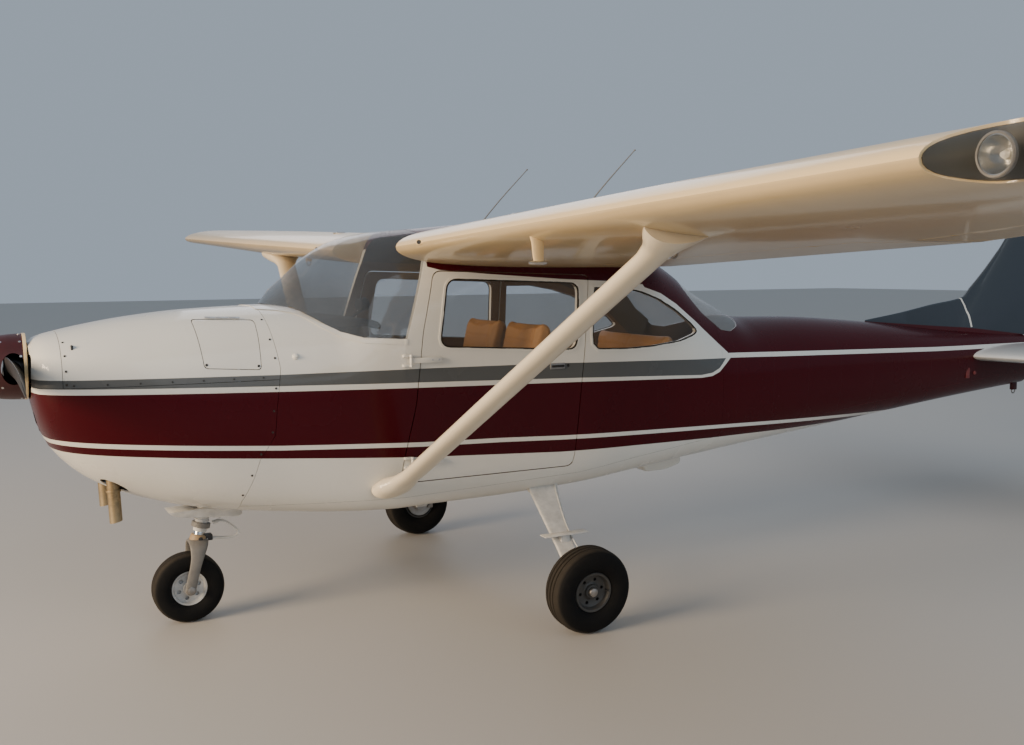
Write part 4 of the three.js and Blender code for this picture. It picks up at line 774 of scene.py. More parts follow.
# Edit mode with only the wanted faces selected
def editFaces(piece, wanted):
    activate(piece)
    bpy.ops.object.mode_set(mode="EDIT")
    bpy.ops.mesh.select_mode(type="FACE")
    bpy.ops.mesh.select_all(action="DESELECT")
    bpy.ops.object.mode_set(mode="OBJECT")
    for face in piece.data.polygons:
        face.select = wanted(face)
    bpy.ops.object.mode_set(mode="EDIT")


def editDone(piece):
    bpy.ops.object.mode_set(mode="OBJECT")
    return piece


def stretched(piece, scale, centre):
    editFaces(piece, lambda face: True)
    bpy.ops.transform.resize(value=scale, center_override=centre)
    return editDone(piece)


def facing(direction, share=0.95):
    way = Vector(direction).normalized()
    return lambda face: face.normal.dot(way) > share


# Sinks (or raises) the faces that look one way, inside a rim
def dished(piece, direction, rim, depth, slope=0.0004):
    editFaces(piece, facing(direction))
    bpy.ops.mesh.inset(thickness=rim, depth=0)
    bpy.ops.mesh.inset(thickness=slope, depth=depth)
    return editDone(piece)


def bevelled(piece, width, segments=2, angle=30):
    step = piece.modifiers.new("rims", "BEVEL")
    step.width = width
    step.segments = segments
    step.limit_method = "ANGLE"
    step.angle_limit = math.radians(angle)
    activate(piece)
    bpy.ops.object.modifier_apply(modifier=step.name)
    return piece


def subdivided(piece, levels=1):
    step = piece.modifiers.new("soft", "SUBSURF")
    step.levels = levels
    step.render_levels = levels
    activate(piece)
    bpy.ops.object.modifier_apply(modifier=step.name)
    return piece


def box(name, x0, x1, y0, y1, z0, z1, soft=0.002):
    piece = primitive("cube", name, size=1, location=here((x0 + x1) / 2, (y0 + y1) / 2, (z0 + z1) / 2),
                      scale=(abs(x1 - x0), abs(y1 - y0), abs(z1 - z0)))
    return bevelled(piece, soft) if soft else piece


def rod(name, start, end, radius, sides=40, soft=0.0015, endRadius=None):
    piece = bar(name, start, end, radius, sides, endRadius)
    return bevelled(piece, soft, 2, 40) if soft else piece


def welded(piece):
    activate(piece)
    bpy.ops.object.mode_set(mode="EDIT")
    bpy.ops.mesh.select_all(action="SELECT")
    bpy.ops.mesh.remove_doubles(threshold=0.00002)
    bpy.ops.mesh.normals_make_consistent(inside=False)
    return editDone(piece)


# A closed profile of (radius, distance along the axis), spun round the axis through a centre
def spun(name, profile, centre, axis, steps=72):
    piece = primitive("circle", name, vertices=len(profile), radius=1)
    for point, (radius, distance) in zip(piece.data.vertices, profile):
        point.co = (radius, 0, distance)
    activate(piece)
    bpy.ops.object.mode_set(mode="EDIT")
    bpy.ops.mesh.select_all(action="SELECT")
    bpy.ops.mesh.spin(steps=steps, angle=2 * math.pi, center=(0, 0, 0), axis=(0, 0, 1))
    editDone(piece)
    welded(piece)
    piece.data.transform(stood(centre, axis))
    return piece


# A round tube or wire along points, thicker or thinner by each point's share
def pipe(name, points, radius, shares=None, smooth=True, sides=5):
    curve = bpy.data.curves.new(name, "CURVE")
    curve.dimensions = "3D"
    curve.bevel_depth = radius
    curve.bevel_resolution = sides
    curve.use_fill_caps = True
    curve.resolution_u = 8
    line = curve.splines.new("BEZIER")
    line.bezier_points.add(len(points) - 1)
    for k, (point, spot) in enumerate(zip(line.bezier_points, points)):
        point.co = spot
        point.handle_left_type = point.handle_right_type = "AUTO" if smooth else "VECTOR"
        point.radius = shares[k] if shares else 1
    piece = bpy.data.objects.new(name, curve)
    bpy.context.scene.collection.objects.link(piece)
    activate(piece)
    bpy.ops.object.convert(target="MESH")
    return welded(bpy.context.object)


# Copies of a piece set evenly round an axis, made one
def around(piece, count, centre, axis, first=0.0):
    name = piece.name
    twins = []
    for k in range(count):
        turn = Matrix.Rotation(math.radians(first) + 2 * math.pi * k / count, 4, Vector(axis))
        twin = copyOf(piece, name)
        twin.data.transform(Matrix.Translation(centre) @ turn @ Matrix.Translation(-Vector(centre)))
        twins.append(twin)
    bpy.data.objects.remove(piece)
    return joinedPiece(name, twins)


# Half width of the fuselage at a station and height, and the way its skin faces there
def skinSpot(x, z, lift=0.0):
    table = noseSections if x < 0.8 else cabinSections

    def reach(xx, zz):
        half, low, mid, high, squareLow, squareHigh = through(table, xx)
        power = squareHigh if zz >= mid else squareLow
        rise = abs(zz - mid) / (high - mid if zz >= mid else mid - low)
        return half * max(1 - rise ** power, 0.0) ** (1 / power)
    y, step = reach(x, z), 0.004
    slopeX = (reach(x + step, z) - reach(x - step, z)) / (2 * step)
    slopeZ = (reach(x, z + step) - reach(x, z - step)) / (2 * step)
    normal = Vector((-slopeX, 1, -slopeZ)).normalized()
    return here(x, y, z) + normal * lift, normal


# Screw heads on both sides of the fuselage at pairs of station and height
def addScrews(name, spots, radius=0.0052, body="airframe", sides=(-1, 1)):
    head = primitive("rod", name, vertices=14, radius=radius, depth=0.003)
    dished(head, (0, 0, 1), radius * 0.35, -0.001, radius * 0.2)
    heads = []
    for x, z in spots:
        spot, normal = skinSpot(x, z, 0.0002)
        for side in sides:
            twin = copyOf(head, name)
            twin.data.transform(stood((spot.x, spot.y * side, spot.z), (normal.x, normal.y * side, normal.z)))
            heads.append(twin)
    bpy.data.objects.remove(head)
    finished(assembled(name, screw=heads), "steel", body=body, angle=40)


# Fuselage. Each section: station, half width, lowest, widest and highest heights, squareness below and above.

noseSections = [
    (-0.862, 0.265, 1.165, 1.31, 1.428, 2.2, 2.2),
    (-0.835, 0.335, 1.035, 1.29, 1.452, 2.2, 2.3),
    (-0.75, 0.392, 0.89, 1.265, 1.477, 2.2, 2.4),
    (-0.6, 0.432, 0.762, 1.22, 1.509, 2.3, 2.5),
    (-0.4, 0.462, 0.672, 1.16, 1.541, 2.5, 2.6),
    (-0.15, 0.486, 0.605, 1.095, 1.566, 2.9, 2.8),
    (0.16, 0.5, 0.56, 1.05, 1.578, 3.4, 3.0),
    (0.5, 0.522, 0.535, 1.05, 1.581, 4.6, 3.2),
    (0.6, 0.527, 0.532, 1.05, 1.581, 5.2, 4.0),
    (0.8, 0.535, 0.53, 1.05, 1.581, 6.0, 6.0),
]
cabinSections = [
    (0.8, 0.535, 0.53, 1.05, 1.95, 6.0, 3.5),
    (1.000, 0.535, 0.535, 1.05, 1.966, 6.0, 5.5),
    (1.3, 0.535, 0.538, 1.05, 1.99, 6.0, 8.0),
    (1.8, 0.535, 0.558, 1.05, 1.965, 6.0, 8.0),
    (2.2, 0.51, 0.583, 1.07, 1.9, 5.0, 6.0),
    (2.45, 0.485, 0.599, 1.08, 1.81, 4.5, 3.6),
    (2.64, 0.468, 0.612, 1.09, 1.724, 4.0, 2.6),
    (2.76, 0.455, 0.62, 1.095, 1.655, 3.9, 2.2),
    (2.96, 0.434, 0.634, 1.1, 1.553, 3.6, 1.95),
    (3.2, 0.41, 0.651, 1.105, 1.446, 3.4, 2.0),
    (3.7, 0.355, 0.686, 1.105, 1.43, 3.0, 2.1),
    (4.3, 0.292, 0.732, 1.1, 1.385, 2.6, 2.1),
    (5.2, 0.197, 0.808, 1.085, 1.292, 2.4, 2.0),
    (5.9, 0.122, 0.86, 1.065, 1.25, 2.2, 2.0),
    (6.02, 0.106, 0.869, 1.06, 1.24, 2.2, 2.0),
]
bubbleSections = [
    (0.228, 0.24, 1.4, 1.585, 2.0),
    (0.3, 0.366, 1.4, 1.67, 2.2),
    (0.34, 0.388, 1.38, 1.705, 2.2),
    (0.5, 0.45, 1.33, 1.845, 2.2),
    (0.6, 0.504, 1.3, 1.9, 2.4),
    (0.7, 0.522, 1.2, 1.93, 2.9),
    (0.8, 0.535, 1.05, 1.95, 3.5),
    (1.000, 0.535, 1.05, 1.966, 5.5),
]
skinSet = {"around": 104, "step": 0.05, "cowlWall": 0.006, "cabinWall": 0.03, "glassWall": 0.005}


def stationsOf(table, step):
    spots = []
    for (a, *_), (b, *_) in zip(table, table[1:]):
        count = max(1, round((b - a) / step))
        spots += [a + (b - a) * k / count for k in range(count)]
    return spots + [table[-1][0]]


def bodyRing(table, x, inset):
    half, low, mid, high, squareLow, squareHigh = through(table, x)
    ring = []
    for c, s in circle(skinSet["around"]):
        power = 2 / (squareHigh if s >= 0 else squareLow)
        reach = high - inset - mid if s >= 0 else mid - low - inset
        y = (half - inset) * math.copysign(abs(c) ** power, c)
        ring.append(here(x, y, mid + reach * math.copysign(abs(s) ** power, s)))
    return ring


def bodySolid(inset):
    nose, aft = [lofted("bodySolid", [bodyRing(table, x, inset) for x in stationsOf(table, skinSet["step"])])
                 for table in (noseSections, cabinSections)]
    return carve(nose, aft, "UNION")


def bubbleSolid(inset):
    rings = []
    arc = skinSet["around"] // 2
    for x in stationsOf(bubbleSections, 0.03):
        half, mid, high, square = through(bubbleSections, x)
        ring = []
        for k in range(arc + 1):
            angle = math.pi * k / arc
            c, s = math.cos(angle), math.sin(angle)
            across = math.copysign(abs(c) ** (2 / square), c)
            rise = (high - inset - mid) * max(s, 0) ** (2 / square)
            ring.append(here(x, (half - inset) * across, mid + rise))
        ring.append(here(x, -(half - inset) + 0.001, 0.95))
        ring.append(here(x, half - inset - 0.001, 0.95))
        rings.append(ring)
    return lofted("bubbleSolid", rings)


oilDoorLine = [(-0.172, 1.526), (-0.15, 1.312), (0.102, 1.296), (0.108, 1.518)]
cowlSet = {"split": 1.245, "cap": -0.742}  # the nose bowl's height and station
cowlSeam = [(0.168, 2.3), (0.16, 1.545), (0.193, 1.295), (0.168, 1.113), (0.157, 0.986), (0.083, 0.87),
            (0.057, 0.783), (0.016, 0.664), (0.016, 0.4)]
floorLine = [(-0.1, 0.63), (0.8, 0.62), (1.8, 0.655), (2.2, 0.7), (2.9, 0.765)]
roofLine = [(0.93, 1.8), (2.2, 1.745), (2.208, 1.672), (2.445, 1.574), (2.585, 1.459), (2.781, 1.28),
            (2.818, 1.238), (2.83, 1.215)]
windshieldLine = [(0.15, 1.592), (0.234, 1.586), (0.3, 1.574), (0.345, 1.552), (0.42, 1.5),
    (0.5, 1.453), (0.6, 1.425), (0.812, 1.411), (0.926, 1.8), (0.966, 2.1), (0.15, 2.1)]
rearWindowLine = [(2.64, 1.8), (2.612, 1.64), (2.64, 1.588), (2.727, 1.494), (2.876, 1.384),
    (2.96, 1.372), (3.06, 1.4), (3.168, 1.47), (3.168, 1.8)]
doorLine = [(0.966, 1.744), (0.897, 1.44), (0.873, 1.235), (0.854, 1.081), (0.78, 0.793), (0.772, 0.702),
            (1.745, 0.702), (1.762, 0.767), (1.822, 1.32), (1.846, 1.716)]
doorWindowLine = [(1.032, 1.704), (0.985, 1.372), (1.772, 1.326), (1.784, 1.676)]
quarterWindowLine = [(1.886, 1.65), (1.876, 1.4), (1.88, 1.352), (1.912, 1.324), (2.126, 1.317),
    (2.29, 1.323), (2.487, 1.341), (2.606, 1.373), (2.622, 1.382), (2.63, 1.391), (2.624, 1.404),
    (2.586, 1.439), (2.485, 1.508), (2.337, 1.581), (2.204, 1.622), (2.056, 1.65)]
tailJoint = 2.83
doorGap = 0.005


def aftOfSeam(shift):
    line = [(x + shift, z) for x, z in cowlSeam]
    return slab("aftOfSeam", line + [(7.0, 0.4), (7.0, 2.3)], "side", -0.8, 0.8)


def prismOf(outline, low=-0.8, high=0.8):
    return slab("tool", outline, "side", low, high)


def belowFloor(lift=0.0):
    return prismOf([(x, z + lift) for x, z in floorLine] + [(2.9, 0.3), (-0.1, 0.3)])


def ellipse(centreU, centreV, halfU, halfV):
    return [(centreU + halfU * c, centreV + halfV * s) for c, s in circle(40)]


def shell(outer, inner, name):
    return carve(copyOf(outer, name), inner, keepTool=True)


outerBody = bodySolid(0)
cowlInner = bodySolid(skinSet["cowlWall"])
cabinInner = bodySolid(skinSet["cabinWall"])
glassInner = bodySolid(skinSet["glassWall"])
proudBody = bodySolid(-0.003)
print("fuselage skins lofted", len(outerBody.data.polygons))


def addCowl():
    split, cap = cowlSet["split"], cowlSet["cap"]
    skin = shell(outerBody, cowlInner, "cowlSkin")
    carve(skin, aftOfSeam(-0.002))
    for side in (-1, 1):
        carve(skin, slab("intake", ellipse(side * 0.205, 1.322, 0.062, 0.066), "front", -0.95, -0.7))
        carve(skin, slab("stackHole", ellipse(-0.53, side * 0.205, 0.062, 0.046), "plan", 0.5, 0.9))
    carve(skin, slab("spinnerHole", ellipse(0, 1.32, 0.11, 0.11), "front", -0.95, -0.78))
    lowIntake = rounded([(-0.095, 1.02), (0.095, 1.02), (0.095, 1.105), (-0.095, 1.105)], 0.04)
    carve(skin, slab("lowIntake", lowIntake, "front", -0.95, -0.7))
    carve(skin, slab("legHole", ellipse(-0.085, 0, 0.105, 0.062), "plan", 0.4, 0.7))
    upper = within(copyOf(skin, "upperCowl"), block(-1, 0.4, -0.7, 0.7, split + 0.001, 2))
    carve(upper, block(-1, cap, -0.7, 0.7, 0.4, 2))
    carve(upper, prismOf(rounded(grown(oilDoorLine, 0.003), 0.018), -0.7, -0.15))
    front = within(copyOf(skin, "noseCap"), block(-1, cap - 0.002, -0.7, 0.7, split + 0.001, 2))
    lower = carve(skin, block(-1, 0.4, -0.7, 0.7, split - 0.001, 2))
    lower.name = "lowerCowl"
    leaf = shell(outerBody, cowlInner, "oilDoorLeaf")
    within(leaf, prismOf(rounded(oilDoorLine, 0.018), -0.7, -0.15))
    for piece, body, node in ((upper, "airframe", "cowl_upper"), (front, "airframe", "cowl_nose_cap"),
                              (lower, "airframe", "cowl_lower"), (leaf, "oil_door", "oil_door")):
        finished(largestBody(piece), "skin_white", node, look="fuselage", body=body)


addCowl()
print("cowl made")


# A raised strip round a window, lying on the skin
def windowTrim(name, outline, width):
    strip = shell(proudBody, glassInner, name)
    within(strip, prismOf(grown(outline, width * 0.7), 0.05, 0.8))
    return carve(strip, prismOf(grown(outline, -width * 0.3), 0.04, 0.81))


def addCabin():
    skin = shell(outerBody, cabinInner, "cabinSkin")
    within(skin, aftOfSeam(0))
    within(skin, block(-0.2, tailJoint - 0.001, -0.8, 0.8, 0.3, 2.2))
    floor = within(copyOf(skin, "floorPan"), belowFloor())
    finished(lined(floor, "fuselage", "carpet"), "skin_white", "cabin_floor_pan")
    for tool in (belowFloor(0.001), prismOf(windshieldLine), prismOf(rearWindowLine),
                 prismOf(rounded(grown(doorLine, doorGap), 0.042)), prismOf(quarterWindowLine)):
        carve(skin, tool)
    roofZone = prismOf([(0.8, 1.801)] + [(x, z + 0.001) for x, z in roofLine] + [(2.83, 2.2), (0.8, 2.2)])
    deckZone = prismOf([(-0.1, 1.4), (0.812, 1.4), (0.812, 1.7), (-0.1, 1.7)])
    for name, zone, inside, slotName, node in (
            ("cabinRoof", roofZone, "headliner", "skin_maroon", "cabin_roof"),
            ("windscreenDeck", deckZone, "black", "skin_white", "windscreen_deck")):
        panel = within(copyOf(skin, name), zone, True)
        carve(skin, zone)
        finished(lined(panel, "fuselage", inside), slotName, node)
    right = within(copyOf(skin, "rightSide"), block(-0.3, 3.0, 0.0002, 0.8, 0.3, 2.2))
    bpy.data.objects.remove(skin)
    onBothSides(lined(largestBody(right), "fuselage", "lining"), "skin_white", "cabin_side_")


addCabin()
print("cabin panels made")


def addGlass():
    screen = carve(bubbleSolid(0), bubbleSolid(skinSet["glassWall"]))
    screen.name = "windshieldGlass"
    within(screen, prismOf(grown(windshieldLine, -0.001)))
    finished(largestBody(screen), "glass", "windshield", look="screenGlass")
    pane = within(shell(outerBody, glassInner, "rearGlass"), prismOf(grown(rearWindowLine, -0.001)))
    finished(largestBody(pane), "glass", "rear_window", look="rearGlass")
    for outline, name, body, node in (
            (quarterWindowLine, "quarterGlass", "airframe", "quarter_glass_"),
            (rounded(doorWindowLine, 0.055), "doorGlass", "door_", "door_glass_")):
        right = shell(outerBody, glassInner, name + "Right")
        within(right, prismOf(grown(outline, -0.001), 0, 0.8))
        onBothSides(right, "glass", node, "glass", body)
        rim = windowTrim("rim", grown(outline, 0.007), 0.012)
        bead = windowTrim("bead", outline, 0.008)
        onBothSides(assembled(name + "TrimRight", white=[rim], seal=[bead]), "glass", body=body)


addGlass()
print("windows made")


# The bright strip that holds the windshield's foot
def addScreenFoot():
    foot = windshieldLine[:8]
    strip = shell(proudBody, glassInner, "screenFoot")
    within(strip, prismOf([(x, z + 0.003) for x, z in foot] + [(x, z - 0.024) for x, z in foot[::-1]]))
    finished(strip, "skin_white", look="white")


addScreenFoot()


def addTailcone():
    skin = shell(outerBody, glassInner, "tailcone")
    within(skin, block(tailJoint, 6.1, -0.8, 0.8, 0.3, 2.2))
    carve(skin, prismOf(rearWindowLine))
    finished(lined(largestBody(skin), "fuselage", "lining"), "skin_maroon", "tailcone")
    cap = lofted("tailBulkhead", [bodyRing(cabinSections, x, 0.004) for x in (6.008, 6.019)])
    finished(cap, "skin_maroon", look="maroon")


addTailcone()


def addDoors():
    leaf = shell(outerBody, cabinInner, "rightDoor")
    within(leaf, prismOf(rounded(doorLine, 0.04), 0, 0.8))
    carve(leaf, prismOf(rounded(doorWindowLine, 0.055), 0, 0.8))
    onBothSides(lined(leaf, "fuselage", "lining"), "skin_white", "door_", body="door_")


addDoors()
print("doors made")


# Wing

wingSet = {
    "root": 0.5, "break": 2.54, "tip": 5.51, "rootChord": 1.626, "tipChord": 1.13,
    "leadingRoot": 0.77, "leadingTip": 0.845, "height": 1.865, "rise": 0.0415,
    "rootIncidence": 3.5, "tipIncidence": 0.5, "thickness": 0.12,
}
aileronSet = {"inner": 2.606, "outer": 5.15, "at": 0.755}
flapSet = {"inner": 0.592, "outer": 2.494, "at": 0.725, "drop": 0.08}
hingeGap = 0.006


def halfThickness(u, thickness):
    curve = 0.2969 * math.sqrt(u) - 0.126 * u - 0.3516 * u ** 2 + 0.2843 * u ** 3 - 0.1015 * u ** 4
    return 5 * thickness * curve


def camberAt(u):
    if u < 0.4:
        return (0.02 / 0.16) * (0.8 * u - u ** 2)
    return (0.02 / 0.36) * (0.2 + 0.8 * u - u ** 2)


def wingAt(y):
    out = max(0, (y - wingSet["break"]) / (wingSet["tip"] - 0.11 - wingSet["break"]))
    chord = wingSet["rootChord"] + (wingSet["tipChord"] - wingSet["rootChord"]) * min(out, 1.03)
    washout = wingSet["tipIncidence"] - wingSet["rootIncidence"]
    angle = math.radians(wingSet["rootIncidence"] + washout * min(out, 1))
    x = wingSet["leadingRoot"] + (wingSet["leadingTip"] - wingSet["leadingRoot"]) * out
    return chord, x, wingSet["height"] + (y - 0.55) * wingSet["rise"], angle


def wingPoint(y, u, v):
    chord, x, z, angle = wingAt(y)
    along, up = u * chord, v * chord
    return here(x + along * math.cos(angle) + up * math.sin(angle), y,
        z - along * math.sin(angle) + up * math.cos(angle))


def wingRing(y, squash=1.0, trim=0.0):
    shares = cosineShares(30)
    lean = lambda u: trim + u * (1 - 1.4 * trim)
    half = lambda u: max(halfThickness(u, wingSet["thickness"]) * squash, 0.0015)
    top, bottom = [[wingPoint(y, lean(u), camberAt(u) * squash + way * half(u)) for u in shares]
                   for way in (1, -1)]
    return top[::-1] + bottom[1:]


def wingSolid():
    spans = [0.38] + [0.5 + 0.17 * k for k in range(12)]
    spans += [2.54 + 0.13 * k for k in range(22)] + [5.4]
    rings = [wingRing(y) for y in spans]
    for k in range(1, 9):
        t = k / 8
        rings.append(wingRing(5.4 + 0.11 * t, math.sqrt(max(1 - (0.954 * t) ** 2, 0.09)), 0.09 * t ** 2.2))
    return lofted("wingSolid", rings)


def hingeLine(surface):
    ends = surface["inner"], surface["outer"]
    return [wingPoint(y, surface["at"], camberAt(surface["at"])) for y in ends]


def pastEnds(a, b, extra):
    step = (b - a).normalized() * extra
    return a - step, b + step


def aileronZone(gap):
    a, b = hingeLine(aileronSet)
    half = halfThickness(aileronSet["at"], wingSet["thickness"]) - 0.0006
    radii = [half * wingAt(y)[0] + gap for y in (aileronSet["inner"], aileronSet["outer"])]
    start, end = pastEnds(a, b, 0.03)
    zone = bar("aileronNose", start, end, radii[0], 64, endRadius=radii[1])
    aft = slab("aileronAft", [(start.x + midStation, start.y), (3, start.y), (3, end.y),
        (end.x + midStation, end.y)], "plan", 1.5, 2.4)
    carve(zone, aft, "UNION")
    return within(zone, spanOf(aileronSet, gap))


# The room at each end of a surface is wider than the gap along its nose
def spanOf(surface, gap):
    return slab("tool", [(0, 1.5), (3, 1.5), (3, 2.4), (0, 2.4)], "side", surface["inner"] - gap * 1.5,
                surface["outer"] + gap * 1.5)


def flapHinge():
    u, ends = flapSet["at"], (flapSet["inner"], flapSet["outer"])
    v = camberAt(u) - halfThickness(u, wingSet["thickness"])
    return [wingPoint(y, u, v) - Vector((0, 0, flapSet["drop"])) for y in ends]


flapRadius = flapSet["drop"] + 2 * halfThickness(flapSet["at"], wingSet["thickness"]) * wingSet["rootChord"]


def flapZone(gap):
    a, b = flapHinge()
    start, end = pastEnds(a, b, 0.03)
    zone = bar("flapNose", start, end, flapRadius + gap, 160)
    aft = block(a.x + midStation, 3, flapSet["inner"] - 0.06, flapSet["outer"] + 0.06, 1.5, 2.4)
    carve(zone, aft, "UNION")
    return within(zone, spanOf(flapSet, gap))


plateSet = {"half": 0.005, "eye": 0.009, "aileron": (0.06, 0.5, 0.94), "flap": (0.12, 0.88),
    "elevator": (0.2, 0.9), "rudder": (1.015, 1.43, 2.38)}


# A plate from the fixed surface to the hinge
def hingePlate(name, hinge, back):
    x, half, eye = hinge.x + midStation, plateSet["half"], plateSet["eye"]
    plate = box(name, x - back, x, hinge.y - half, hinge.y + half, hinge.z - eye, hinge.z + eye, 0.0012)
    ends = Vector((0, half, 0))
    return assembled(name, bare=[plate, rod("eye", hinge - ends, hinge + ends, eye, 24, 0.001)])


def hingeSlot(hinge, back):
    x = hinge.x + midStation
    return block(x - back, x + 0.017, hinge.y - 0.0085, hinge.y + 0.0085, hinge.z - 0.09, hinge.z + 0.09)


def trackArc(name, centre, low, high, inner, outer, half, steps=16):
    ring = []
    for radius, order in ((outer, range(steps + 1)), (inner, range(steps, -1, -1))):
        for k in order:
            angle = math.radians(low + (high - low) * k / steps)
            ring.append((centre.x + midStation + radius * math.cos(angle),
                centre.z + radius * math.sin(angle)))
    return slab(name, ring, "side", centre.y - half, centre.y + half)


lampSet = {"inner": 3.64, "outer": 4.1, "depth": 0.165}


def lampZone(grow, low=1.7, high=2.3):
    inner, outer = lampSet["inner"], lampSet["outer"]
    edge = lambda y: wingAt(y)[1]
    depth = lampSet["depth"] + grow
    outline = [(edge(inner) - 0.1, inner - grow), (edge(inner) + 0.03, inner - grow),
               (edge(inner) + depth, inner + 0.09), (edge(outer) + depth, outer - 0.09),
               (edge(outer) + 0.03, outer + grow), (edge(outer) - 0.1, outer + grow)]
    return slab("lampZone", rounded(outline, 0.05), "plan", low, high)


def addWings():
    whole = wingSolid()
    wing = copyOf(whole, "rightWing")
    carve(wing, aileronZone(hingeGap))
    carve(wing, flapZone(hingeGap))
    carve(wing, outerBody, keepTool=True)
    carve(wing, block(0, 3, -0.1, wingSet["root"], 1, 2.6))
    largestBody(wing)
    left = turnedOver(carve(copyOf(wing, "leftWing"), lampZone(0.001)))
    aileron = within(copyOf(whole, "rightAileron"), aileronZone(0))
    flap = within(copyOf(whole, "rightFlap"), flapZone(0))
    a, b = hingeLine(aileronSet)
    plates = []
    for hinge in [a.lerp(b, share) for share in plateSet["aileron"]]:
        nose = halfThickness(aileronSet["at"], wingSet["thickness"]) * wingAt(hinge.y)[0]
        plates.append(hingePlate("plate", hinge, nose + 0.02))
        carve(aileron, hingeSlot(hinge, nose + 0.03))
    onBothSides(joinedPiece("rightAileronPlates", plates), "bare_aluminium")
    a, b = flapHinge()
    tracks = []
    for centre in [a.lerp(b, share) for share in plateSet["flap"]]:
        track = trackArc("track", centre, 104, 128, flapRadius - 0.032, flapRadius + 0.014, 0.005)
        tracks.append(within(track, whole, True))
        carve(flap, trackArc("slot", centre, 99, 178, flapRadius - 0.04, flapRadius + 0.04, 0.009))
    onBothSides(assembled("rightFlapTracks", bare=tracks), "bare_aluminium")
    lamp = within(copyOf(whole, "lampBlock"), lampZone(0))
    finished(wing, "skin_white", "wing_right", look="wing")
    finished(left, "skin_white", "wing_left", look="wing")
    onBothSides(largestBody(aileron), "skin_white", "aileron_", "beaded", "aileron_")
    onBothSides(largestBody(flap), "skin_white", "flap_", "beaded", "flap_")
    return whole, lamp


wholeWing, lampBlock = addWings()
print("wings made")

strutSet = {"foot": (0.756, 0.548, 0.69), "head": (1.022, 2.452, 1.868), "chord": 0.132, "thick": 0.054}
strutCuffs = [  # share of the length, scale, and how far the section lies ahead
    (-0.012, 1.6, 0.034), (0.014, 1.5, 0.031), (0.028, 1.26, 0.019), (0.042, 1.1, 0.012), (0.08, 1.0, 0.0),
    (0.925, 1.0, 0.0), (0.955, 1.2, 0.0), (0.97, 1.42, 0.002), (0.985, 1.75, 0.006), (1.015, 2.25, 0.014),
]


def addStruts():
    a, b = here(*strutSet["foot"]), here(*strutSet["head"])
    side = Vector((1, 0, 0)).cross(b - a).normalized()

    def ring(share, scale, ahead):
        centre = a.lerp(b, share) - Vector((ahead, 0, 0))
        return [centre + Vector((c * strutSet["chord"] * scale / 2, 0, 0))
                + side * (s * strutSet["thick"] * scale / 2 * (1 - 0.35 * c)) for c, s in circle(40)]

    spots = [-0.012 + 0.005 * k for k in range(20)] + [0.1 + 0.083 * k for k in range(1, 10)]
    spots += [0.87 + 0.0058 * k for k in range(26)]
    strut = lofted("rightStrut", [ring(t, *through(strutCuffs, t)) for t in spots if t <= 1.0151])
    carve(strut, outerBody, keepTool=True)
    carve(strut, wholeWing, keepTool=True)
    onBothSides(largestBody(strut), "skin_white", "wing_strut_", "strut")


addStruts()
print("struts made")

# Tail

finTop, finFoot, rudderFoot = 2.712, 1.236, 0.945


def finLeading(z):
    return 5.438 + (z - 1.505) * 0.845


def rudderTrailing(z):
    return 6.575 + (z - 0.98) * 0.2287


def rudderHinge(z):
    return 6.152 + (z - 0.945) * 0.306


def finRing(z, squash=1.0):
    chord = rudderTrailing(z) - finLeading(z)
    shares = cosineShares(24)
    half = lambda u: max(halfThickness(u, 0.075) * chord * squash, 0.0016)
    port, starboard = [[here(finLeading(z) + u * chord, way * half(u), z) for u in shares] for way in (-1, 1)]
    return port[::-1] + starboard


def finSolid():
    heights = [rudderFoot - 0.01 + (finTop - 0.07 - rudderFoot + 0.01) * k / 24 for k in range(25)]
    rings = [finRing(z) for z in heights]
    for k in range(1, 7):
        t = k / 6
        rings.append(finRing(finTop - 0.07 + 0.07 * t, math.sqrt(max(1 - (0.9 * t) ** 2, 0.2))))
    return lofted("finSolid", rings)


def rudderRadius(z):
    chord = rudderTrailing(z) - finLeading(z)
    return halfThickness((rudderHinge(z) - finLeading(z)) / chord, 0.075) * chord - 0.0008


def rudderZone(gap):
    low, high = rudderFoot - 0.06, finTop + 0.04
    zone = bar("rudderNose", here(rudderHinge(low), 0, low), here(rudderHinge(high), 0, high),
        rudderRadius(rudderFoot) + gap, 64, endRadius=rudderRadius(finTop) + gap)
    aft = prismOf([(rudderHinge(low), low), (7.4, low), (7.4, high), (rudderHinge(high), high)], -0.3, 0.3)
    return carve(zone, aft, "UNION")


dorsalTable = [  # station, half width at the foot and at the top, height
    (4.412, 0.004, 0.003, 1.386), (4.747, 0.015, 0.007, 1.43), (5.074, 0.026, 0.01, 1.483),
    (5.3, 0.034, 0.012, 1.512), (5.392, 0.037, 0.013, 1.532), (5.451, 0.038, 0.013, 1.592),
    (5.533, 0.038, 0.013, 1.662), (5.62, 0.038, 0.012, 1.742), (5.7, 0.038, 0.012, 1.822),
    (5.76, 0.038, 0.011, 1.882), (5.8, 0.038, 0.01, 1.918),
]


def dorsalSolid():
    rings = []
    for x in stationsOf(dorsalTable, 0.06):
        base, top, height = through(dorsalTable, x)
        half = [(base, 1.2), (top, height - 0.006), (top * 0.4, height)]
        rings.append([here(x, -base, 1.2)] + [here(x, y, z) for y, z in half]
                     + [here(x, -y, z) for y, z in half[:0:-1]])
    return lofted("dorsal", rings)


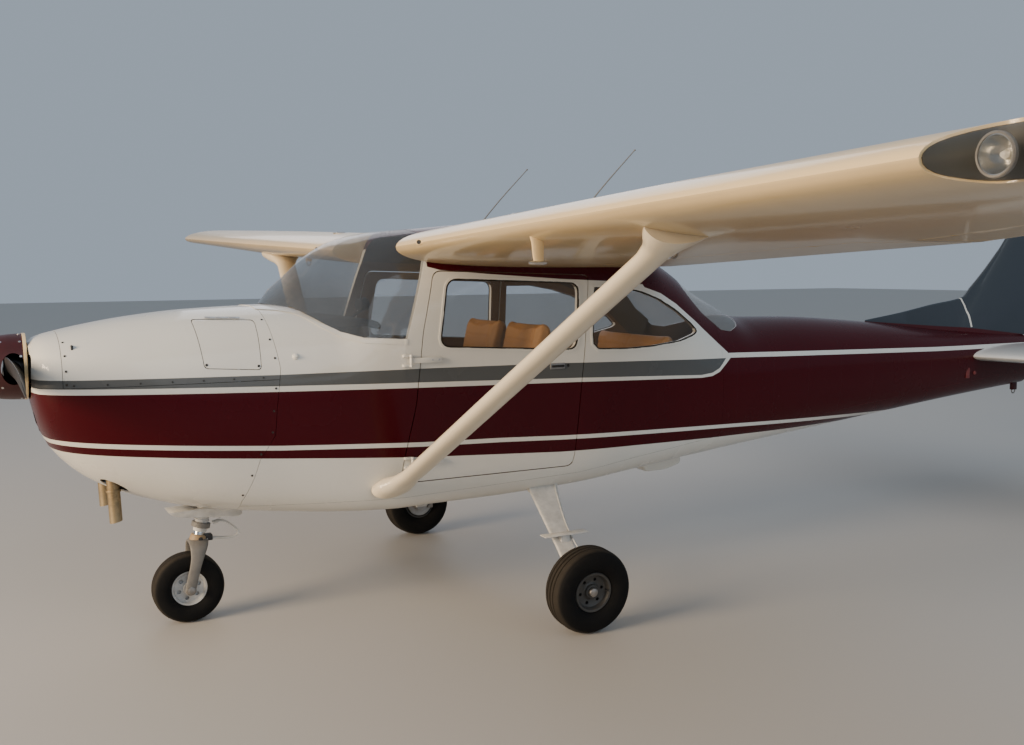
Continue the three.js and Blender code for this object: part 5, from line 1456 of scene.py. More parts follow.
def tailPaint():
    shader = Shader("finPaint", Coat_Weight=0.12, Coat_Roughness=0.08, Specular_IOR_Level=0.25)
    x, z = shader.x, shader.z
    footLine = [(4.35, 1.382), (5.1, 1.325), (5.4, 1.305), (6.0, 1.238), (6.6, 1.19)]
    base = z.under(shader.along(footLine), 0.002)
    colour = shader.mix(base, paintSet["slate"], paintSet["maroon"])
    lineX = shader.along([(1.314, 5.434), (1.397, 5.415), (1.471, 5.379), (1.521, 5.345)], z)
    line = (x - lineX).over(-0.008, 0.002) * (x - lineX).under(0.008, 0.002)
    line = line * z.under(1.521, 0.002) * z.over(1.308, 0.002)
    colour = shader.mix(line, colour, paintSet["white"])
    bead = abs((z % 0.075) - 0.0375)
    beads = (1 - bead.atMost(0.016) / 0.016) * (x - (z - 0.945) * 0.306).over(6.2, 0.01)
    ripple = shader.noise(5.0, 2, 0.4) * 0.4
    return shader.feed(Base_Color=scuffed(shader, colour, 0.02), Roughness=gloss(shader, 0.26),
                       Normal=shader.bump(ripple + beads * 0.9, 0.4, 0.006))


looks["fin"] = tailPaint()


def addFin():
    whole = finSolid()
    fin = within(copyOf(whole, "fin"), block(4, 7.4, -0.3, 0.3, finFoot, 3))
    carve(fin, dorsalSolid(), "UNION")
    carve(fin, rudderZone(hingeGap))
    carve(fin, outerBody, keepTool=True)
    finished(largestBody(fin), "skin_slate", "fin", look="fin")
    rudder = within(whole, rudderZone(0))
    rudder.name = "rudder"
    carve(rudder, block(6, 7.4, -0.3, 0.3, 0, rudderFoot))
    plates, half, eye = [], plateSet["half"], plateSet["eye"]
    for z in plateSet["rudder"]:
        x, back = rudderHinge(z), rudderRadius(z) + (0.1 if z < 1.1 else 0.022)
        plates.append(box("plate", x - back, x, -eye, eye, z - half, z + half, 0.0012))
        plates.append(rod("eye", here(x, 0, z - half), here(x, 0, z + half), eye, 24, 0.001))
        carve(rudder, block(x - 0.09, x + 0.017, -0.09, 0.09, z - 0.0095, z + 0.0095))
    finished(assembled("rudderPlates", bare=plates), "bare_aluminium")
    finished(largestBody(rudder), "skin_slate", "rudder", look="fin", body="rudder")


addFin()

stabSet = {"hinge": (6.05, 1.131), "span": 1.727, "leading": (5.262, 0.253), "trailing": (6.61, -0.235),
           "thickness": (0.085, -0.01)}


# Leading edge, chord and thickness of the tailplane at a share of its span
def stabAt(out, trim=0.0):
    leading, trailing, thickness = [stabSet[key][0] + stabSet[key][1] * out
                                    for key in ("leading", "trailing", "thickness")]
    return leading + trim, trailing - trim * 1.2 - leading - trim, thickness


def stabRing(y, squash=1.0, trim=0.0):
    leading, chord, thickness = stabAt(min(y / stabSet["span"], 1), trim)
    half = lambda u: max(halfThickness(u, thickness) * chord * squash, 0.0016)
    height = lambda x: stabSet["hinge"][1] - (stabSet["hinge"][0] - x) * 0.03
    spots = [(leading + u * chord, half(u)) for u in cosineShares(24)]
    top, bottom = [[here(x, y, height(x) + way * thick) for x, thick in spots] for way in (1, -1)]
    return top[::-1] + bottom


def stabRadius(y):
    leading, chord, thickness = stabAt(y / stabSet["span"])
    return halfThickness((stabSet["hinge"][0] - leading) / chord, thickness) * chord - 0.0008


def elevatorZone(gap):
    x, z = stabSet["hinge"]
    zone = bar("elevatorNose", here(x, 0.06, z), here(x, stabSet["span"] + 0.02, z),
        stabRadius(0.06) + gap, 64, endRadius=stabRadius(stabSet["span"]) + gap)
    return carve(zone, block(x, 7, -0.01, 2, 0.9, 1.5), "UNION")


def addTailplane():
    span, (x, z) = stabSet["span"], stabSet["hinge"]
    rings = [stabRing(0.04 + (span - 0.13) * k / 20) for k in range(21)]
    for k in range(1, 8):
        t = k / 7
        rings.append(stabRing(span - 0.09 + 0.09 * t, math.sqrt(max(1 - (0.954 * t) ** 2, 0.09)),
            0.06 * t ** 2.4))
    whole = lofted("stabSolid", rings)
    fixed = copyOf(whole, "rightStabilizer")
    carve(fixed, elevatorZone(hingeGap))
    carve(fixed, outerBody, keepTool=True)
    carve(fixed, block(5, 7, -0.2, 0.06, 0.9, 1.5))
    onBothSides(largestBody(fixed), "skin_white", "stabilizer_", "tailplane")
    blade = within(whole, elevatorZone(0))
    inner = [(5.9, 0), (6.8, 0), (6.8, 0.405), (6.08, 0.138), (5.9, 0.138)]
    carve(blade, slab("tool", inner, "plan", 0.9, 1.5))
    plates = []
    for y in [span * share for share in plateSet["elevator"]]:
        plates.append(hingePlate("plate", here(x, y, z), stabRadius(y) + 0.02))
        carve(blade, hingeSlot(here(x, y, z), 0.075))
    onBothSides(joinedPiece("rightElevatorPlates", plates), "bare_aluminium")
    largestBody(blade)
    tube = bar("tube", here(x, -0.15, z), here(x, 0.15, z), 0.017)
    pair = assembled("elevatorPair", tailBeaded=[blade, otherSide(blade, "other")], bare=[tube])
    finished(pair, "skin_white", "elevator", body="elevator")


addTailplane()
print("tail made")

# Propeller and spinner

spinnerSet = {
    "base": -0.868, "length": 0.312, "radius": 0.152, "wall": 0.004, "height": 1.32, "bladePlane": -0.925,
    "screws": [(12, 0.026, 8), (4, 0.105, 35)],  # how many, how far ahead, first angle
}
bladeTable = [(0.05, 0.034, 0.058, 40), (0.11, 0.046, 0.056, 37), (0.18, 0.064, 0.044, 32),
    (0.28, 0.074, 0.034, 28), (0.4, 0.078, 0.026, 24), (0.6, 0.074, 0.018, 19),
    (0.78, 0.066, 0.013, 16), (0.93, 0.047, 0.007, 13), (0.955, 0.034, 0.005, 12.5),
    (0.965, 0.018, 0.003, 12)]


def bladeRing(span, side):
    halfChord, thick, pitch = through(bladeTable, span)
    turn = math.radians(pitch)
    points = []
    for c, s in circle(36):
        u, v = halfChord * c, thick * 0.5 * s * (1 - 0.25 * c)
        x = spinnerSet["bladePlane"] + side * u * math.sin(turn) + v * math.cos(turn)
        points.append(here(x, side * span,
            spinnerSet["height"] + u * math.cos(turn) - side * v * math.sin(turn)))
    return points


def addPropeller():
    axis, height, base = (-1, 0, 0), spinnerSet["height"], spinnerSet["base"]
    hub = rod("propHub", here(-0.962, 0, height), here(-0.8455, 0, height), 0.068, 48, 0.004)
    spans = [round(0.05 + 0.915 * (k / 44), 4) for k in range(44)] + [0.957, 0.961, 0.965]
    blades = [lofted("blade", [bladeRing(s, side) for s in sorted(set(spans))]) for side in (-1, 1)]
    whole = assembled("propellerBlades", blade=[hub, *blades])
    finished(whole, "blade_grey", "propeller_blades", body="propeller", angle=40)
    radius, length, wall = spinnerSet["radius"], spinnerSet["length"], spinnerSet["wall"]
    curve = lambda f: max(1 - (f / length) ** 2.5, 0) ** 0.58
    steps = [length * math.sin(math.pi / 2 * k / 26) for k in range(27)]
    outer = [(radius * curve(f), f) for f in steps]
    inner = [((radius - wall) * curve(f), max(f * (length - wall) / length, wall)) for f in reversed(steps)]
    cone = spun("spinner", [(0.0705, 0)] + outer + inner + [(0.0705, wall)], here(base, 0, height), axis, 96)
    for side in (-1, 1):
        slot = ellipse(spinnerSet["bladePlane"], height, 0.052, 0.072)
        carve(cone, slab("slot", slot, "side", side * 0.04, side * 0.19))
    finished(cone, "skin_maroon", "spinner", look="spinner", body="propeller")
    rim = spun("spinnerRim", [(0.149, -0.0005), (0.154, -0.0005), (0.1545, 0.003), (0.1535, 0.014),
                              (0.149, 0.014)], here(base, 0, height), axis, 96)
    finished(rim, "skin_white", look="cream", body="propeller")
    for count, f, first in spinnerSet["screws"]:
        spot = here(base - f, 0, height + radius * curve(f) + 0.0004)
        screw = rod("spinnerScrews", spot - Vector((0, 0, 0.004)), spot + Vector((0, 0, 0.0012)), 0.0055,
            14, 0.0006)
        ring = around(screw, count, here(base - f, 0, height), (1, 0, 0), first)
        finished(ring, "steel", look="bare", body="propeller")


addPropeller()

# Cowl fittings

stackSet = {"top": (-0.545, 0.205, 0.98), "foot": (-0.528, 0.205, 0.563), "radius": 0.029, "wall": 0.0022}


def addStack(name, side, node):
    top, foot = [here(x, y * side, z) for x, y, z in (stackSet["top"], stackSet["foot"])]
    outer = bar(name, foot, top, stackSet["radius"], 48)
    along = (top - foot).normalized() * 0.02
    carve(outer, bar("bore", foot - along, top - along, stackSet["radius"] - stackSet["wall"], 48))
    low = foot.z
    carve(outer, slab("bevelEnd", [(-0.65, low - 0.1), (-0.4, low - 0.1), (-0.4, low + 0.055),
        (-0.65, low + 0.004)], "side", side * 0.205 - 0.1, side * 0.205 + 0.1))
    clamp = spun("stackClamp", [(0.0295, 0.17), (0.033, 0.17), (0.034, 0.176), (0.033, 0.182),
        (0.0295, 0.182)], foot, top - foot, 48)
    finished(joinedPiece(name, [outer, clamp]), "steel", node, look="exhaust")


addStack("leftStack", -1, "exhaust_left")
addStack("rightStack", 1, "exhaust_right")


def cowlSeamAt(z):
    for (x0, z0), (x1, z1) in zip(cowlSeam, cowlSeam[1:]):
        if z1 <= z <= z0:
            return x0 + (x1 - x0) * (z0 - z) / (z0 - z1)
    return cowlSeam[-1][0]


addScrews("seamScrews", [(cowlSeamAt(z) - 0.016, z) for z in (1.52, 1.43, 1.345, 1.205, 1.1, 1.0, 0.9,
    0.8, 0.7)])
addScrews("capScrews", [(-0.728, z) for z in (1.44, 1.385, 1.32, 1.262)])
addScrews("bandScrews", [(-0.7 + 0.135 * k, 1.257) for k in range(7)], radius=0.0042)
addScrews("oilDoorScrews", [(-0.142, 1.326), (0.092, 1.312)], radius=0.0062, body="oil_door", sides=(-1,))


oilHingeSet = {"middle": (-0.032, -0.3023, 1.5336), "along": (0.28, -0.0466, -0.0076), "radius": 0.0045}


def addCowlFittings():
    spot, normal = skinSpot(0.267, 1.348)
    spot.y, normal.y = -spot.y, -normal.y
    knob = spun("staticPort", [(0.0, -0.004), (0.016, -0.004), (0.016, 0.002), (0.012, 0.006), (0.007, 0.008),
                               (0.007, 0.014), (0.0, 0.016)], spot, normal, 28)
    finished(knob, "skin_white", look="white")
    for side in (-1, 1):
        centre = here(-0.83, side * 0.205, 1.322)
        lip = primitive("torus", "intakeLip", location=centre, rotation=(0, math.pi / 2, 0),
            major_radius=0.064, minor_radius=0.007, major_segments=48, minor_segments=12)
        finished(stretched(lip, (1.0, 0.97, 1.03), centre), "skin_white", look="white")
        baffle = box("baffle", -0.7, -0.69, side * 0.11, side * 0.34, 1.2, 1.43, 0.004)
        finished(dished(baffle, (-1, 0, 0), 0.012, -0.004), "engine_casting", look="black")
    filterFrame = box("airFilter", -0.815, -0.78, -0.098, 0.098, 1.017, 1.108, 0.003)
    finished(dished(filterFrame, (-1, 0, 0), 0.01, -0.006), "engine_casting", look="black")
    hinge, line = here(*oilHingeSet["middle"]), Vector(oilHingeSet["along"]).normalized()
    knuckles = [rod("oilHinge", hinge + line * a, hinge + line * b, oilHingeSet["radius"], 16, 0.0008)
                for a, b in ((-0.08, -0.031), (0.031, 0.08), (-0.0295, 0.0295))]
    finished(assembled("oilHingeFixed", bare=knuckles[:2]), "bare_aluminium")
    knuckles[2].name = "oilHingeDoor"
    finished(knuckles[2], "bare_aluminium", look="bare", body="oil_door")


addCowlFittings()
print("propeller and cowl fittings made")

# Undercarriage

mainWheelSet = {"centre": (1.5, 1.0935, 0.211), "radius": 0.2095, "width": 0.16, "rim": 0.474,
    "camber": 4, "bolts": 0.06, "brakeLine": [(1.566, 0.992, 0.232), (1.585, 0.978, 0.262),
    (1.59, 0.93, 0.292), (1.606, 0.74, 0.402), (1.65, 0.56, 0.512), (1.68, 0.45, 0.6)]}
noseWheelSet = {"centre": (-0.18, 0, 0.175), "radius": 0.175, "width": 0.126, "rim": 0.5, "rake": 0.2353}
gearLegSet = {"thick": 0.02, "path": [(0.395, 1.618, 0.64, 0.09), (0.44, 1.612, 0.592, 0.088),
    (0.56, 1.59, 0.5, 0.072), (0.74, 1.556, 0.385, 0.055), (0.9, 1.524, 0.285, 0.044),
    (0.982, 1.502, 0.228, 0.04), (1.000, 1.5, 0.205, 0.04)]}


def tyreProfile(radius, width, rimShare):
    rim, half = radius * rimShare, width / 2
    deep = radius - rim
    side = [(rim, 0.66), (rim + 0.004, 0.76), (rim + 0.16 * deep, 0.91), (rim + 0.3 * deep, 0.975),
        (rim + 0.42 * deep, 1.0), (rim + 0.55 * deep, 0.995), (rim + 0.68 * deep, 0.965),
        (rim + 0.78 * deep, 0.915), (rim + 0.835 * deep, 0.872), (rim + 0.85 * deep, 0.83),
        (rim + 0.91 * deep, 0.735), (rim + 0.955 * deep, 0.62), (radius - 0.0014, 0.48),
        (radius - 0.0002, 0.36), (radius - 0.0052, 0.345), (radius - 0.0052, 0.285), (radius, 0.27),
        (radius, 0.06), (radius - 0.0052, 0.045)]
    return [(r, w * half) for r, w in side] + [(r, -w * half) for r, w in reversed(side)]


# The spring leg's section at a distance from the middle, square to its run
def legRing(y):
    path, half = gearLegSet["path"], gearLegSet["thick"] / 2
    x, z, wide = through(path, y)
    ahead, behind = through(path, min(y + 0.01, 1.0)), through(path, max(y - 0.01, 0.395))
    slope = Vector((0, 0.02, ahead[1] - behind[1])).normalized()
    up = Vector((0, -slope.z, slope.y))
    return [here(x + wide * math.copysign(abs(c) ** 0.22, c), y,
        z) + up * (half * math.copysign(abs(n) ** 0.55, n)) for c, n in circle(32)]


def addMainGear():
    s = mainWheelSet
    camber = math.radians(s["camber"])
    centre, axis = here(*s["centre"]), Vector((0, math.cos(camber), -math.sin(camber)))
    rim = s["radius"] * s["rim"]
    at = lambda out, ahead=0, up=0: centre + Vector((ahead, 0, up)) + axis * out
    tyre = spun("rightTyre", tyreProfile(s["radius"], s["width"], s["rim"]), centre, axis, 96)
    valve = rod("valve", at(0.04, 0.078), at(0.066, 0.078), 0.0042, 12, 0.001)
    hub = spun("hub", [(0.0195, 0.036), (0.0195, 0.046), (0.03, 0.047), (0.034, 0.044), (0.036, 0.034),
        (0.044, 0.029), (0.07, 0.031), (0.078, 0.036), (0.083, 0.05), (0.087, 0.057), (0.096, 0.0585),
        (rim - 0.0004, 0.056), (rim - 0.0004, 0.05), (rim - 0.004, 0.046), (rim - 0.004, -0.046),
        (rim - 0.0004, -0.05), (rim - 0.0004, -0.056), (0.092, -0.056), (0.088, -0.03), (0.04, -0.026),
        (0.034, -0.04), (0.0195, -0.04)], centre, axis, 96)
    hole = bar("boltHole", at(0.01, 0, s["bolts"]), at(0.06, 0, s["bolts"]), 0.0085, 20)
    carve(hub, around(hole, 6, centre, axis, 20))
    nuts = around(rod("nut", at(0.008, 0, s["bolts"]), at(0.022, 0, s["bolts"]), 0.0058, 6, 0.0006), 6,
        centre, axis, 20)
    disc = spun("brakeDisc", [(0.045, -0.064), (0.082, -0.064), (0.084, -0.0625), (0.084, -0.0575),
        (0.082, -0.056), (0.045, -0.056), (0.04, -0.05), (0.03, -0.05), (0.03, -0.057),
        (0.042, -0.06)], centre, axis)
    stub = spun("stub", [(0.0, -0.078), (0.0188, -0.078), (0.0188, 0.046), (0.024, 0.047), (0.024, 0.054),
                         (0.02, 0.06), (0.01, 0.063), (0.0, 0.0635)], centre, axis, 40)
    flange = spun("flange", [(0.0, -0.092), (0.044, -0.092), (0.046, -0.09), (0.046, -0.07),
        (0.044, -0.068), (0.0, -0.068)], centre, axis, 40)
    caliper = box("caliper", 1.548, 1.584, 1.002, 1.036, 0.181, 0.241, 0.005)
    piston = rod("piston", here(1.566, 0.99, 0.211), here(1.566, 1.004, 0.211), 0.013, 24, 0.002)
    brakeLine = pipe("brakeLine", [here(*spot) for spot in s["brakeLine"]], 0.0032)
    leg = lofted("leg", [legRing(0.395 + 0.605 * k / 40) for k in range(41)])
    carve(leg, outerBody, keepTool=True)
    step = box("step", 1.434, 1.69, 0.735, 0.8, 0.4, 0.4055, 0.0022)
    grip = box("stepGrip", 1.444, 1.68, 0.74, 0.795, 0.4054, 0.4064, 0.0004)
    bracket = box("stepBracket", 1.53, 1.58, 0.745, 0.79, 0.362, 0.401, 0.003)
    cuffLine = rounded([(1.53, 0.415), (1.705, 0.415), (1.705, 0.458), (1.53, 0.458)], 0.02)
    cuff = carve(slab("rightLegCuff", cuffLine, "plan", 0.56, 0.66), outerBody, keepTool=True)
    onBothSides(tyre, "tyre", "main_tyre_", "mainTyre", "main_wheel_", 35)
    wheel = assembled("rightHub", hubGrey=[hub], screw=[nuts], steel=[disc], black=[valve])
    onBothSides(wheel, "bare_aluminium", "main_hub_", None, "main_wheel_", 35)
    axle = assembled("rightAxle", steel=[stub, flange, caliper, piston], leg=[brakeLine])
    onBothSides(axle, "steel", "main_axle_", angle=35)
    whole = assembled("rightLeg", leg=[largestBody(leg), step, bracket], grit=[grip])
    onBothSides(whole, "leg_white", "gear_leg_", angle=35)
    onBothSides(largestBody(cuff), "skin_white", None, "white", angle=35)


addMainGear()
print("main undercarriage made")


def noseLine(z):
    return noseWheelSet["centre"][0] + (z - noseWheelSet["centre"][2]) * noseWheelSet["rake"]


def noseSpot(z, y=0.0, aft=0.0):
    return here(noseLine(z) + aft, y, z)


forkPath = [  # across, height, half length, half thickness, station
    (0.0785, 0.148, 0.019, 0.006, -0.182), (0.0785, 0.176, 0.027, 0.0075, -0.181),
    (0.079, 0.215, 0.028, 0.008, -0.173), (0.08, 0.29, 0.027, 0.009, -0.154),
    (0.0795, 0.335, 0.032, 0.01, -0.142), (0.074, 0.368, 0.039, 0.012, -0.135),
    (0.06, 0.391, 0.045, 0.014, -0.13), (0.036, 0.404, 0.049, 0.0155, -0.127),
    (0.0, 0.408, 0.05, 0.016, -0.1255),
]


torqueLinks = [
    [(-0.085, 0.02, 0.412), (-0.04, 0.014, 0.408), (0.05, 0.004, 0.404), (0.074, 0.003, 0.412)],
    [(-0.048, 0.02, 0.487), (-0.01, 0.014, 0.494), (0.062, 0.004, 0.448), (0.078, 0.003, 0.428)],
]
plateLine = [(-0.272, 0.573), (-0.245, 0.553), (-0.225, 0.544), (0.03, 0.521), (0.07, 0.523),
    (0.084, 0.53), (0.084, 0.6), (0.024, 0.6), (0.024, 0.564), (-0.1, 0.58)]


def forkRing(k, path):
    y, z, halfLong, halfThick, x = path[k]
    before, after = path[max(k - 1, 0)], path[min(k + 1, len(path) - 1)]
    way = Vector((0, after[0] - before[0], after[1] - before[1])).normalized()
    out = Vector((0, way.z, -way.y))
    return [here(x + halfLong * c, y, z) + out * halfThick * s for c, s in circle(28)]


def addNoseGear():
    s = noseWheelSet
    centre, axis, rim = here(*s["centre"]), Vector((0, 1, 0)), s["radius"] * s["rim"]
    tyre = spun("noseTyre", tyreProfile(s["radius"], s["width"], s["rim"]), centre, axis, 96)
    finished(tyre, "tyre", "nose_tyre", look="noseTyreLook", body="nose_wheel", angle=35)
    face = [(0.0166, 0.03), (0.0166, 0.037), (0.027, 0.038), (0.03, 0.034), (0.031, 0.026), (0.072, 0.024),
            (0.076, 0.03), (0.079, 0.04), (0.086, 0.0425), (rim - 0.0004, 0.041), (rim - 0.0004, 0.036),
            (rim - 0.004, 0.032)]
    hub = spun("noseHub", face + [(r, -w) for r, w in reversed(face)], centre, axis, 96)
    across = lambda y, up=0: centre + Vector((0, y, up))
    cuts = [bar("hole", across(side * 0.01, 0.052), across(side * 0.06, 0.052), 0.0105,
        24) for side in (-1, 1)]
    carve(hub, around(joinedPiece("holes", cuts), 6, centre, axis, 12))
    finished(hub, "bare_aluminium", "nose_hub", look="hubWhite", body="nose_wheel", angle=35)
    barrel = rod("barrel", noseSpot(0.452), noseSpot(0.76), 0.033, 48, 0.003)
    rings = [spun("ring", [(0.032, 0), (0.0365, 0.001), (0.0365, 0.007), (0.032, 0.008)], noseSpot(z),
                  noseSpot(1) - noseSpot(0), 48) for z in (0.505, 0.585)]
    collar = rod("collar", noseSpot(0.6), noseSpot(0.625), 0.044, 48, 0.003)
    mount = box("mount", -0.06, -0.0004, -0.034, 0.034, 0.7, 0.76, 0.006)
    strut = assembled("noseStrut", leg=[barrel, *rings], castGrey=[collar, mount])
    finished(strut, "bare_aluminium", "nose_strut", angle=35)
    whole = forkPath + [(-y, z, a, b, x) for y, z, a, b, x in reversed(forkPath[:-1])]
    fork = subdivided(lofted("fork", [forkRing(k, whole) for k in range(len(whole))]))
    piston = rod("piston", noseSpot(0.4), noseSpot(0.4516), 0.027, 48, 0.001)
    crown = rod("crown", noseSpot(0.4), noseSpot(0.436), 0.044, 48, 0.006, 0.038)
    bolt = rod("clampBolt", here(-0.118, -0.046, 0.417), here(-0.118, 0.046, 0.417), 0.011, 20, 0.002)
    clampBlock = box("clampBlock", -0.098, -0.055, -0.024, 0.024, 0.402, 0.432, 0.004)
    pin = rod("axlePin", across(-0.098), across(0.098), 0.0155, 32, 0.002)
    nuts, bosses, links = [], [], []
    for side in (-1, 1):
        nuts.append(rod("axleNut", across(side * 0.0865), across(side * 0.0945), 0.022, 6, 0.0015))
        bosses.append(rod("axleBoss", across(side * 0.0715), across(side * 0.0868), 0.027, 32, 0.003, 0.025))
        links += [pipe("link", [here(x, side * y, z) for x, y, z in line], 0.0048) for line in torqueLinks]
    apex = rod("linkPin", here(0.076, -0.013, 0.42), here(0.076, 0.013, 0.42), 0.0085, 20, 0.001)
    lug = rod("linkCollar", noseSpot(0.472), noseSpot(0.498), 0.046, 48, 0.003)
    carve(lug, bar("bore", noseSpot(0.44), noseSpot(0.53), 0.0334, 48))
    whole = assembled("noseFork", forkGrey=[fork, *bosses], chrome=[piston], brass=[crown],
        black=[bolt, clampBlock], steel=[pin, *nuts], leg=[*links, apex], castGrey=[lug])
    finished(whole, "bare_aluminium", "nose_fork", body="nose_fork", angle=35)
    plate = slab("noseGearPlate", plateLine, "side", -0.07, 0.07)
    carve(plate, bar("legRoom", noseSpot(0.4), noseSpot(0.7), 0.06, 48))
    carve(plate, outerBody, keepTool=True)
    finished(bevelled(largestBody(plate), 0.003), "skin_white", "nose_gear_plate", look="leg")
    damper = rod("shimmyDamper", here(-0.02, -0.045, 0.53), here(-0.02, 0.045, 0.53), 0.012, 24, 0.002)
    finished(damper, "steel", look="black")


addNoseGear()
print("nose undercarriage made")

# Door hinges, handles and other cabin hardware

doorHingeSet = {"x": 0.822, "y": 0.549, "radius": 0.008, "heights": (0.8, 1.308)}


def addDoorHardware():
    x, y, radius = [doorHingeSet[key] for key in ("x", "y", "radius")]
    for z in doorHingeSet["heights"]:
        knuckles = []
        for low in (z - 0.0305, z + 0.0165):
            knuckles.append(rod("knuckle", here(x, y, low), here(x, y, low + 0.014), radius, 20, 0.001))
            knuckles.append(box("hingeFoot", 0.782, x, 0.526, 0.547, low, low + 0.014, 0.003))
        leaves = [rod("doorKnuckle", here(x, y, z - 0.0156), here(x, y, z + 0.0156), radius, 20, 0.001),
                  box("strap", x + 0.001, 0.987, 0.5435, 0.5515, z - 0.0135, z + 0.0135, 0.0025),
                  box("strapFoot", 0.917, 0.986, 0.526, 0.545, z - 0.011, z + 0.011, 0.003)]
        screws = [rod("screw", here(at, 0.5512, z), here(at, 0.5528, z), 0.0045, 12,
            0.0006) for at in (0.935, 0.97)]
        onBothSides(assembled("rightDoorHinge", white=knuckles), "skin_white")
        onBothSides(assembled("rightDoorStrap", white=leaves), "skin_white", body="door_")
        onBothSides(assembled("rightStrapScrews", bare=screws), "skin_white", body="door_")
    plate = box("handlePlate", 1.61, 1.7, 0.5335, 0.5385, 1.226, 1.258, 0.004)
    dished(plate, (0, 1, 0), 0.006, -0.0015)
    lever = box("lever", 1.618, 1.694, 0.538, 0.544, 1.2355, 1.2475, 0.0028)
    lock = spun("lock", [(0, 0), (0.008, 0), (0.008, 0.002), (0.0065, 0.0028), (0, 0.0028)],
                here(1.72, 0.5338, 1.242), (0, 1, 0), 24)
    handle = assembled("rightHandle", steel=[plate], screw=[lever, lock])
    onBothSides(handle, "bare_aluminium", body="door_")
    rest = box("armrest", 1.1, 1.52, 0.468, 0.503, 1.045, 1.085, 0.012)
    pull = pipe("pull", [here(x, y, 1.215) for x, y in ((1.22, 0.5), (1.225, 0.462), (1.4, 0.462),
        (1.405, 0.5))], 0.009)
    onBothSides(assembled("rightDoorTrim", leather=[rest], black=[pull]), "panel_plastic", body="door_")


addDoorHardware()

# Instrument panel and controls

panelSet = {
    "face": 0.6505, "gaugeRadius": 0.038,
    "gauges": [(y, z) for z in (1.385, 1.292) for y in (-0.365, -0.275, -0.185)]
    + [(y, z) for z in (1.385, 1.3) for y in (0.25, 0.335)],
    "shade": [(0.33, 1.47), (0.64, 1.478), (0.7, 1.462), (0.708, 1.48), (0.7, 1.5), (0.64, 1.516),
              (0.33, 1.516)],
    "grip": [(0.802, 0.03, 1.262), (0.803, 0.085, 1.258), (0.803, 0.116, 1.275), (0.803, 0.118, 1.32),
             (0.801, 0.11, 1.358)],
}


def addGauge():
    x, r = panelSet["face"], panelSet["gaugeRadius"]
    middle, axis = here(x, 0, 0), (1, 0, 0)
    bezel = primitive("rod", "gauge", vertices=40, radius=r, depth=0.01, location=here(x + 0.003, 0, 0),
                      rotation=(0, math.pi / 2, 0))
    painted(dished(bezel, axis, 0.006, -0.004, 0.0005), "black", "dial", "white")
    for face in bezel.data.polygons:
        away = (face.center - middle).yz.length
        face.material_index = 1 if face.normal.x > 0.9 and away < 0.004 else 0
    tick = box("tick", x + 0.0042, x + 0.0048, -0.0008, 0.0008, r - 0.0145, r - 0.0085, 0)
    needle = box("needle", x + 0.005, x + 0.0056, -0.001, 0.001, -0.006, 0.022, 0)
    needle.data.transform(Matrix.Translation(middle) @ Matrix.Rotation(0.9, 4,
        axis) @ Matrix.Translation(-middle))
    marks = assembled("marks", white=[around(tick, 12, middle, axis), needle])
    return joinedPiece("gauge", [bezel, marks])


